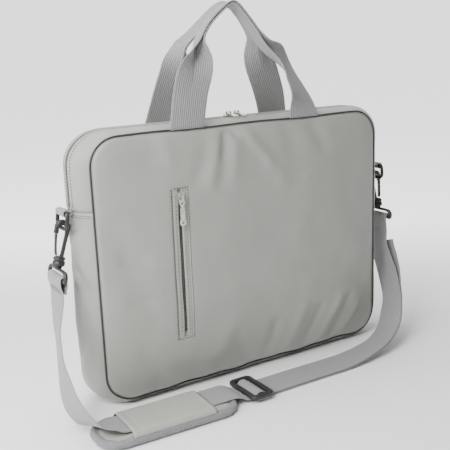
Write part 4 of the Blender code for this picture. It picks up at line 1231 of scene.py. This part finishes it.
def make_hardware(side):
    sign = SIDES[side]
    ring, hook = ring_frame(side), hook_frame(side)

    # The tab is a loop of webbing round the ring's bar, sewn into the level seam.
    centre = np.array(JOINTS[side + "_ring_swing"]["pos_m"])
    loop = [(-6.2, 1.0), (-4.0, 1.7), (-2.2, 2.7), (0, 3.3), (2.4, 2.4), (3.3, 0)]
    loop += [(out, -up) for out, up in reversed(loop[:-1])]
    path = catmull([centre + np.array((sign * out, 0, up)) * MM for out, up in loop], 0.0008)
    ribbon(side + "_tab_loop", path, BACKWARD, TAB_WIDTH, TAB_THICK, "webbing", body="bag",
           replaces=[side + "_tab"])

    half = [(0, 0), (10.5, 0), (13.0, -0.5), (13.9, -2.8), (13.9, -10.0)]
    half += [(12.9, -13.6), (9.8, -15.9), (5.0, -16.5), (0, -16.5)]
    tube(side + "_ring", placed(ring, loop_outline(half)), WIRE, "plastic", WIRE_SIDES, body=side + "_ring",
         replaces=[side + "_d_ring"])

    spine = [(-1.2, 34.0), (-2.6, 28.0), (-3.6, 21.0), (-4.6, 13.0), (-5.6, 6.0)]
    turns = [math.pi * k / 6 for k in range(7)]
    bend = [(-HOOK_RADIUS * math.cos(a), -HOOK_RADIUS * math.sin(a)) for a in turns]
    route = spine + bend + [(HOOK_RADIUS + 0.1, 3.2), (HOOK_RADIUS + 0.3, 5.6)]
    path = [(sign * out, 0, -down) for out, down in route]
    widths = [5.4] * 5 + [5.8, 6.4, 7.0, 7.2, 7.0, 6.4, 5.6, 5.8, 5.8]
    thick = [4.0, 3.5, 3.3, 3.4, 3.9, 4.9, 5.6, 6.0, 6.0, 5.8, 5.2, 4.2, 4.6, 4.2]
    bar(side + "_hook_arm", hook, path, widths, thick, "plastic", body=side + "_hook",
        replaces=[side + "_snap_hook"])
    groove = [(0.0, -29.6), (3.8, -29.6), (5.2, -30.4), (6.2, -31.2), (6.3, -33.2), (5.2, -33.8)]
    groove += [(5.2, -34.6), (6.4, -35.2), (6.5, -38.6), (5.8, -39.8), (0.0, -39.9)]
    lathe(side + "_hook_collar", hook, [(max(r, 0.05), h) for r, h in groove], "plastic", body=side + "_hook")
    leaf = [(3.9, 28.3), (4.6, 25.0), (5.2, 19.0), (5.7, 12.0), (6.0, 6.4)]
    path = [(sign * out, 0, -down) for out, down in leaf]
    bar(side + "_gate_bar", hook, path, [4.6, 4.6, 4.4, 4.4, 4.8], [2.0, 2.1, 2.0, 2.1, 2.6], "plastic",
        body=side + "_gate_leaf", replaces=[side + "_gate"])

    half = [(0, -43.2), (9.0, -43.2), (17.0, -43.4), (21.4, -44.7), (23.2, -47.8)]
    half += [(22.9, -50.8), (21.2, -52.4), (14.0, -52.5), (0, -52.5)]
    outline = loop_outline(half)
    wide = np.where(np.abs(outline[:, 1]) > 19.0, 2.3, 1.85) * MM
    tube(side + "_eye_loop", placed(hook, outline), wide, "plastic", WIRE_SIDES, body=side + "_eye",
         replaces=[side + "_swivel_eye"])
    stem = [(0.05, -40.2), (3.9, -40.2), (4.1, -41.4), (3.2, -42.2), (3.4, -43.6), (0.05, -44.2)]
    lathe(side + "_eye_stem", hook, stem, "plastic", body=side + "_eye")


# ---- Shoulder strap ----


STRAP_LANE = -83.0
LOOP_RADIUS = 3.7
LOOP_RISE = 0.7


LEVEL_RUN = (
    # x and z in millimetres where the strap lies level: over the pad, through the adjuster, on the floor
    (-198.0, 11.3), (-150.0, 10.2), (-105.0, 10.2), (-76.0, 10.4), (-67.0, 8.8), (-59.0, 4.4),
    (-54.0, 3.0), (-50.2, 3.0), (-47.2, 5.4), (-44.4, 8.1), (-41.0, 8.7), (-37.6, 8.1),
    (-34.8, 5.4), (-31.8, 3.0), (-28.0, 3.0), (0.0, 3.0), (40.0, 3.0),
)


def strap_stations():
    """The strap's middle line in millimetres and its width direction, from the left eye to the right one."""
    lane = STRAP_LANE
    left = hook_frame("left") @ Vector((0, 0, -EYE_DROP))
    right = hook_frame("right") @ Vector((0, 0, -EYE_DROP))
    lx, lz, rx, rz = left.x / MM, left.z / MM, right.x / MM, right.z / MM
    turns = [math.pi * step / 4 for step in range(5)]
    over_bar = [(LOOP_RADIUS * math.cos(turn), LOOP_RISE + LOOP_RADIUS * math.sin(turn)) for turn in turns]
    return [
        (lx + 1.2, 0, lz - 14.5, 0, 1, 0),
        (lx + 3.3, 0, lz - 7, 0, 1, 0),
        *[(lx + out, 0, lz + up, 0, 1, 0) for out, up in over_bar],
        (lx - 3.3, 0, lz - 7, 0, 1, 0),
        (lx - 1.4, 0, lz - 14.5, 0, 1, 0),
        (-225.8, -0.2, 122.0, 0.03, 1.00, -0.03),
        (-228.8, -2.2, 100.3, 0.13, 0.97, -0.21),
        (-230.2, -6.1, 86.9, 0.16, 0.91, -0.38),
        (-232.2, -12.5, 74.5, 0.13, 0.83, -0.54),
        (-234.8, -20.7, 63.4, 0.08, 0.72, -0.69),
        (-237.5, -31.0, 54.2, -0.01, 0.59, -0.81),
        (-239.5, -42.9, 47.0, -0.09, 0.46, -0.88),
        (-240.4, -55.6, 40.8, -0.09, 0.42, -0.90),
        (-239.6, -68.1, 34.5, 0.01, 0.51, -0.86),
        (-235.3, -78.3, 26.1, 0.01, 0.80, -0.60),
        (-225.4, -82.5, 17.6, -0.03, 0.95, -0.32),
        (-211.8, -83.0, 14.0, -0.02, 0.99, -0.14),
        *((x, lane, z, 0, 1, 0) for x, z in LEVEL_RUN),
        (75.0, lane - 0.5, 3.0, 0, 1, 0),
        (102.0, lane, 4.0, -0.05, 0.99, -0.05),
        (132.0, -80, 7.0, -0.09, 0.98, -0.15),
        (160.0, -74.5, 12.5, -0.07, 0.97, -0.25),
        (183.0, -66, 24, -0.12, 0.92, -0.37),
        (200.0, -53, 40.5, -0.11, 0.85, -0.52),
        (213.0, -39, 56, -0.02, 0.77, -0.63),
        (220.5, -25, 73, 0.02, 0.82, -0.57),
        (222.5, -13.5, 92, 0.10, 0.90, -0.38),
        (221.5, -5.5, 112, 0.10, 0.97, -0.20),
        (rx - 3.0, -1, 130, 0, 1, -0.05),
        (rx - LOOP_RADIUS, 0, rz - 6, 0, 1, 0),
        *[(rx - out, 0, rz + up, 0, 1, 0) for out, up in over_bar],
        (rx + LOOP_RADIUS, 0, rz - 4.0, 0, 1, 0),
    ]


def return_gap(x, z):
    """How far the returning run lies outside the long run."""
    heights = (0.040, 0.056, 0.073, 0.092, 0.112, 0.130, 0.145)
    gaps = (0.0019, 0.0030, 0.0068, 0.0100, 0.0108, 0.0096, 0.0084)
    return gaps[0] if x < 0 else float(np.interp(z, heights, gaps))


STRAP_WIDTH, STRAP_THICK = 0.038, 0.0014
STRAP_PITCH = 0.0032
ADJUSTER_X, UNDER_X, UNDER_Z = -0.0440, -0.028, 0.003
RETURN_TOP, RETURN_PAST_BAR = 0.147, 0.004
END_STITCH = (0.0019, 0.0008, 0.0005)


def make_strap():
    """The long run of the strap, the run doubled back from the adjuster, and the stitches of its sewn end."""
    scale = np.array((MM, MM, MM, 1, 1, 1))
    values = catmull([np.array(station) * scale for station in strap_stations()], STRAP_PITCH)
    path, across = values[:, :3], unit(values[:, 3:])
    along = directions(path)
    main = ribbon("strap_main", path, across, STRAP_WIDTH, STRAP_THICK, "strap", body="bag",
                  replaces=["shoulder_strap"])

    right_bar = JOINTS["right_ring_swing"]["pos_m"][0]
    start = next(i for i, point in enumerate(path) if point[0] > ADJUSTER_X)
    most = right_bar + RETURN_PAST_BAR
    end = max(i for i, point in enumerate(path) if point[2] < RETURN_TOP and point[0] < most)
    back_path, back_across, back_along = [], [], []
    for place, go, wide in zip(path[start:end], along[start:end], across[start:end]):
        under = place[0] < UNDER_X
        run = np.array((1.0, 0, 0)) if under else go
        level = np.array((place[0], place[1], UNDER_Z)) if under else place
        outside = -unit(np.cross(run, wide))
        back_path.append(level + outside * return_gap(place[0], place[2]))
        back_across.append(wide)
        back_along.append(run)
    back_path = np.array(back_path)
    back = ribbon("strap_back", back_path, np.array(back_across), STRAP_WIDTH, STRAP_THICK, "strap",
                  along=np.array(back_along), body="bag", replaces=["strap_return"])

    # The sewn end at the left eye: two rows of stitches across the doubled strap.
    left = hook_frame("left") @ Vector((0, 0, -EYE_DROP))
    for row, drop in enumerate((0.0128, 0.0100)):
        for way, offset in ((-1, -0.0031), (1, 0.0031)):
            name = f"strap_end_stitches_{row}_{'in' if way > 0 else 'out'}"
            x = left.x + offset + 0.0002 * way
            line = [(x, y, left.z - drop) for y in np.linspace(-0.0175, 0.0175, 20)]
            stitches(name, line, (way, 0, 0.1), "thread", 0.0026, END_STITCH, body="bag")


def rounded_corners(half_x, half_y, radius, steps, centre=(0.0, 0.0)):
    """A rectangle's outline, anticlockwise, with an arc of steps stretches at each corner."""
    points = []
    for quarter, (sx, sy) in enumerate(((1, 1), (-1, 1), (-1, -1), (1, -1))):
        for step in range(steps + 1):
            angle = math.pi / 2 * (quarter + step / steps)
            x = sx * (half_x - radius) + radius * math.cos(angle)
            y = sy * (half_y - radius) + radius * math.sin(angle)
            points.append((centre[0] + x, centre[1] + y))
    return points


GLIDE_GROWTH, GLIDE_LIFT = (0.0012, 0.0010, 0.0008), 0.0006
RAIL, END_RAIL = 0.0052, 0.0062
GLIDE_BAR = (0.0042, 0.0030)


def make_triglide():
    """The adjuster: a moulded frame with rounded rails and a middle bar."""
    low, high = (np.array(corner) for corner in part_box("tri_glide"))
    centre, half = (low + high) / 2, (high - low) / 2 + np.array(GLIDE_GROWTH)
    centre[2] += GLIDE_LIFT
    outer = rounded_corners(half[0], half[1], 0.006, 4, centre)
    inner = rounded_corners(half[0] - RAIL, half[1] - END_RAIL, 0.001, 4, centre)
    n = len(outer)
    levels = (centre[2] - half[2], centre[2] + half[2])
    points = [(x, y, z) for z in levels for ring in (outer, inner) for x, y in ring]
    faces = []
    for i in range(n):
        j = (i + 1) % n
        for a, b in ((0, 2), (1, 3), (2, 3), (0, 1)):
            faces.append((a * n + i, a * n + j, b * n + j, b * n + i))
    frame_piece = solid("tri_glide_frame", points, faces, "plastic", body="bag", replaces=["tri_glide"])
    bevel(frame_piece, 0.0014, 4, 50)
    ends = half[1] - 0.004
    line = np.array([(centre[0], centre[1] + y, centre[2]) for y in np.linspace(-ends, ends, 20)])
    width, thickness = (np.full(20, size) for size in GLIDE_BAR)
    round_bar("tri_glide_bar", line, (1, 0, 0), width, thickness, "plastic", body="bag")


# ---- Shoulder pad ----


PAD_CENTRE = Vector((-0.150, -0.0855, 0.0))
PAD_TURN = Matrix.Translation(PAD_CENTRE) @ Matrix.Rotation(math.radians(-2.0), 4, "Z")
PAD_LENGTH, PAD_WIDTH, PAD_CORNER = 0.160, 0.061, 0.026
BINDING = 0.0042
BAND_LENGTH = 0.093


def pill(inset, steps=8):
    return rounded_corners(PAD_LENGTH / 2 - inset, PAD_WIDTH / 2 - inset, PAD_CORNER - inset, steps)


def dense_pill(inset, pitch=0.002):
    loop = pill(inset)
    closed = np.array([*loop, loop[0]])
    distance = lengths(closed)
    return along_path(np.arange(0, distance[-1], pitch), distance, closed)


def puffed(piece, voxel, pressure, cap, frames=20):
    """Swells a closed mesh with Cloth pressure, and keeps every point within cap of where it began."""
    remesh = piece.modifiers.new("remesh", "REMESH")
    remesh.mode = "VOXEL"
    remesh.voxel_size = voxel
    bpy.context.view_layer.update()
    graph = bpy.context.evaluated_depsgraph_get()
    start = bpy.data.meshes.new_from_object(piece.evaluated_get(graph))
    piece.modifiers.clear()
    piece.data = start
    before = np.array([vert.co for vert in start.vertices])
    cloth = piece.modifiers.new("cloth", "CLOTH")
    cloth.settings.quality = 6
    cloth.settings.mass = 0.3
    cloth.settings.use_pressure = True
    cloth.settings.uniform_pressure_force = pressure
    cloth.settings.effector_weights.gravity = 0.0
    for step in range(1, frames + 1):
        SCENE.frame_set(step)
    graph = bpy.context.evaluated_depsgraph_get()
    swelled = bpy.data.meshes.new_from_object(piece.evaluated_get(graph))
    piece.modifiers.clear()
    SCENE.frame_set(1)
    after = np.array([vert.co for vert in swelled.vertices])
    move = after - before
    far = np.linalg.norm(move, axis=1, keepdims=True)
    kept = before + move * np.minimum(1.0, cap / np.maximum(far, 1e-9))
    swelled.vertices.foreach_set("co", kept.astype(np.float32).ravel())
    for face in swelled.polygons:
        face.use_smooth = True
    piece.data = swelled


PAD_LAYERS = (
    # how far in from the edge, and height
    (0.0040, 0.0006), (0.0012, 0.0008), (0.0, 0.0028), (0.0, 0.0055),
    (0.0014, 0.0076), (0.0050, 0.0084), (0.012, 0.0086), (0.019, 0.0087),
)
PAD_VOXEL, PAD_PRESSURE, PAD_SWELL = 0.0022, 2.0, 0.0006
PAD_FLOOR, PAD_TOP = 0.0004, 0.0090
RIM_STITCH_HEIGHT = 0.0083
COVER_HALF = (
    # the cover's arch in millimetres: across and up, from one edge to the middle
    (-28.4, 8.4), (-27.6, 10.0), (-25.8, 12.2), (-22.0, 13.6), (-12.0, 14.0), (0, 14.1),
)
COVER_THICK, COVER_HEM = 0.0011, 0.0065


def on_pad(points):
    """Points in the pad's own frame, put where the pad lies."""
    return [tuple(PAD_TURN @ Vector(point)) for point in points]


def make_cushion():
    rings = [on_pad((x, y, z) for x, y in pill(2 * BINDING - 0.0016 + draw)) for draw, z in PAD_LAYERS]
    points = [point for ring in rings for point in ring]
    cushion = solid("pad_cushion", points, rod(len(rings), len(rings[0])), "leather_pale")
    puffed(cushion, PAD_VOXEL, PAD_PRESSURE, PAD_SWELL)
    points = np.array([vert.co for vert in cushion.data.vertices])
    points[:, 2] = np.clip(points[:, 2], PAD_FLOOR, PAD_TOP)
    cushion.data.vertices.foreach_set("co", points.astype(np.float32).ravel())
    if not cushion.data.materials:
        cushion.data.materials.append(FINISHES["leather_pale"])
    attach(cushion, "pad")
    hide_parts("pad_body")


def make_rim():
    height = BINDING + 0.0003
    line = [(x, y, height + 0.00025 * math.sin(i * 0.9)) for i, (x, y) in enumerate(dense_pill(BINDING))]
    wave = np.array([BINDING * (1 + 0.015 * math.sin(i * 1.7)) for i in range(len(line))])
    tube("pad_rim", on_pad(line), wave, "binding", 16, body="pad", replaces=["pad_binding"])
    seam = on_pad((x, y, RIM_STITCH_HEIGHT) for x, y in dense_pill(2 * BINDING - 0.0012))
    stitches("pad_rim_stitches", seam, UPWARD, "pale_thread", 0.0030, (0.0022, 0.0008, 0.0005), body="pad")


def make_cover():
    """The band that arches over the strap, with folded and sewn ends."""
    arch = [*COVER_HALF, *((-y, z) for y, z in reversed(COVER_HALF[:-1]))]
    curve = catmull([np.array((0.0, y, z)) * MM for y, z in arch], 0.002)
    grid = []
    for x in np.linspace(-BAND_LENGTH / 2, BAND_LENGTH / 2, 48):
        inner = BAND_LENGTH / 2 - abs(x)
        end = max(0.0, 1 - inner / 0.004)
        hem = math.exp(-(((inner - COVER_HEM) / 0.0012) ** 2))
        row = []
        for _, y, z in curve:
            over = min(1.0, max(0.0, (z - 0.0095) / 0.003))
            lift = (0.0003 - 0.0007 * end**2 - 0.0004 * hem + ripple(x * 1.2, y, 0.3, 45.0, 0.0005)) * over
            row.append((x, y, z + lift))
        grid.append(on_pad(row))
    cover = skin("pad_cover", np.array(grid), "leather_pale", COVER_THICK, outward=one_way(*UPWARD),
                 inside="lining", body="pad", replaces=["pad_band"])
    for side, sign in SIDES.items():
        x = sign * (BAND_LENGTH / 2 - COVER_HEM)
        row = on_pad((x, y, z + 0.0001) for _, y, z in curve[3:-3])
        stitches(f"pad_hem_{side}", row, UPWARD, "pale_thread", 0.0032, (0.0023, 0.0007, 0.0004), body="pad")


def make_pad():
    make_cushion()
    make_rim()
    make_cover()


# ---- Zip pullers ----


def arc_points(centre, radius, start, end, steps):
    angles = np.radians(np.linspace(start, end, steps))
    return [(centre[0] + radius * math.cos(a), centre[1] + radius * math.sin(a)) for a in angles]


def make_puller(name, pivot, end, normal, size, body, node):
    """A pressed plate: a round eye at the pivot, a round end with a hole. size is width and thickness."""
    pivot, end, normal = np.array(pivot, float), np.array(end, float), unit(normal)
    width, thickness = size
    down = unit(end - pivot)
    normal = unit(normal - np.dot(normal, down) * down)
    side = np.cross(normal, down)
    reach = float(np.linalg.norm(end - pivot)) - width / 2
    eye, neck, plate = width * 0.46, width * 0.27, width * 0.36
    half = [(eye * math.cos(a), -eye * math.sin(a)) for a in np.radians(np.linspace(90, -50, 10))]
    half += [(neck, eye * 1.25), (neck, eye * 1.6), (plate, eye * 2.1), (plate, reach - width * 0.62)]
    tip = np.radians(np.linspace(35, -90, 10))
    half += [(width / 2 * math.cos(a), reach - width / 2 * math.sin(a)) for a in tip]
    outline = half + [(-x, y) for x, y in reversed(half[1:-1])]
    holes = [arc_points((0, 0), eye * 0.55, 0, 342, 20), arc_points((0, reach), width * 0.24, 0, 342, 20)]
    curve = bpy.data.curves.new(name, "CURVE")
    curve.dimensions = "2D"
    curve.fill_mode = "BOTH"
    curve.extrude = thickness / 2 - 0.00015
    curve.bevel_depth = 0.00015
    curve.bevel_resolution = 2
    for loop in [outline, *holes]:
        spline = curve.splines.new("POLY")
        spline.points.add(len(loop) - 1)
        for point, (x, y) in zip(spline.points, loop):
            point.co = (x, y, 0, 1)
        spline.use_cyclic_u = True
    shape = bpy.data.objects.new(name, curve)
    SCENE.collection.objects.link(shape)
    bpy.context.view_layer.update()
    mesh = bpy.data.meshes.new_from_object(shape.evaluated_get(bpy.context.evaluated_depsgraph_get()))
    bpy.data.objects.remove(shape, do_unlink=True)
    place = Matrix((side, down, normal)).transposed().to_4x4()
    place.translation = Vector(pivot)
    mesh.transform(place)
    mesh.materials.clear()
    piece = add(name, mesh, "nickel", body=body, replaces=[node])
    for face in mesh.polygons:
        face.use_smooth = False
    return piece


PULLER_THICK = 0.0011


def make_pullers():
    low, high = (np.array(corner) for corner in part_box("pocket_puller"))
    x, y, _ = (low + high) / 2
    make_puller("pocket_pull_plate", (x, y, high[2] - 0.0033), (x, y, low[2]), FORWARD,
                (high[0] - low[0], PULLER_THICK), "pocket_pull", "pocket_puller")
    for side in SIDES:
        low, high = (np.array(corner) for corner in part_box(side + "_zip_puller"))
        x = (low[0] + high[0]) / 2
        pivot, end = (x, high[1] - 0.0028, high[2] - 0.0012), (x, low[1], low[2] + 0.0006)
        make_puller(side + "_pull_plate", pivot, end, UPWARD,
                    (high[0] - low[0], PULLER_THICK), side + "_zip_pull", side + "_zip_puller")


# ---- Pieces that keep their CAD shape ----


KEPT_SHAPES = {
    "pocket_slider": "nickel",
    "left_zip_slider": "nickel",
    "right_zip_slider": "nickel",
    "base_board": "board",
}


def make_small_parts():
    for node, finish in KEPT_SHAPES.items():
        piece = frame["nodes"][node]
        for slot in piece.material_slots:
            slot.material = FINISHES[finish]
        if finish == "nickel":
            bevel(piece, 0.00025, 3, 30)


def make_inside():
    """The padded divider with its sewn channels, and the pocket's thin lining."""
    low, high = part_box("laptop_divider")
    xs, zs = np.linspace(low[0], high[0], 90), np.linspace(low[2], high[2], 54)
    centre_y = (low[1] + high[1]) / 2
    half = (high[1] - low[1]) / 2
    for side, way in (("front", -1), ("back", 1)):
        grid = []
        for z in zs:
            row = []
            for x in xs:
                edge = min(x - low[0], high[0] - x, z - low[2], high[2] - z)
                channel = abs(math.sin(math.pi * (x - low[0]) / (high[0] - low[0]) * 6)) ** 0.5
                swell = half * min(1.0, edge / 0.006 + 0.12) * (0.72 + 0.28 * channel)
                row.append((x, centre_y + way * (0.0002 + 0.95 * swell), z))
            grid.append(row)
        name = f"divider_{side}"
        face = skin(name, np.array(grid), "lining", 0.0008, outward=one_way(0, way, 0),
                    body="bag", replaces=["laptop_divider"])
    low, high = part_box("pocket_lining")
    xs, zs = np.linspace(low[0], high[0], 40), np.linspace(low[2], high[2], 40)
    grid = [[(x, (low[1] + high[1]) / 2 + ripple(x, 1.0, z, 20.0, 0.0006), z) for x in xs] for z in zs]
    sheet = skin("pocket_back", np.array(grid), "lining", 0.0006, outward=one_way(*FORWARD),
                 body="bag", replaces=["pocket_lining"])
    low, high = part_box("divider_strap")
    path = [(0.0, y, (low[2] + high[2]) / 2) for y in np.linspace(high[1], low[1], 16)]
    ribbon("divider_tie_strap", path, (1, 0, 0), high[0] - low[0], 0.0015, "webbing",
           body="divider_tie", replaces=["divider_strap"])


def make_floor():
    """A pale floor that brightens away from the camera until it meets the backdrop."""
    corners = ((-1, -1), (1, -1), (1, 1), (-1, 1))
    places = [(x * FLOOR_HALF, y * FLOOR_HALF, FLOOR_LEVEL) for x, y in corners]
    mesh = mesh_of("floor", places, [(0, 1, 2, 3)])
    floor = bpy.data.objects.new("floor", mesh)
    SCENE.collection.objects.link(floor)
    finish = Finish("floor", (0.95, 0.95, 0.95), 0.9)
    far = finish.node("ShaderNodeVectorMath", 1, {"operation": "DOT_PRODUCT"})
    far.node.inputs[1].default_value = VIEW_DIRECTION
    finish.set(far.node, 0, finish.where())
    glow = finish.node("ShaderNodeMapRange", 0, {"interpolation_type": "SMOOTHSTEP"}, Value=far, **FLOOR_GLOW)
    finish.set(finish.shader, "Emission Color", (1.0, 1.0, 1.0, 1.0))
    finish.set(finish.shader, "Emission Strength", glow)
    mesh.materials.append(finish.material)


make_camera()
make_triglide()
make_pad()
make_strap()
make_studio()
make_gusset()
make_piping()
make_panels()
make_pocket()
make_handle("front", -1, "front_carry", "front_handle")
make_handle("back", 1, "back_carry", "back_handle")
for hardware_side in SIDES:
    make_hardware(hardware_side)
make_inside()
make_pullers()
make_small_parts()

make_floor()
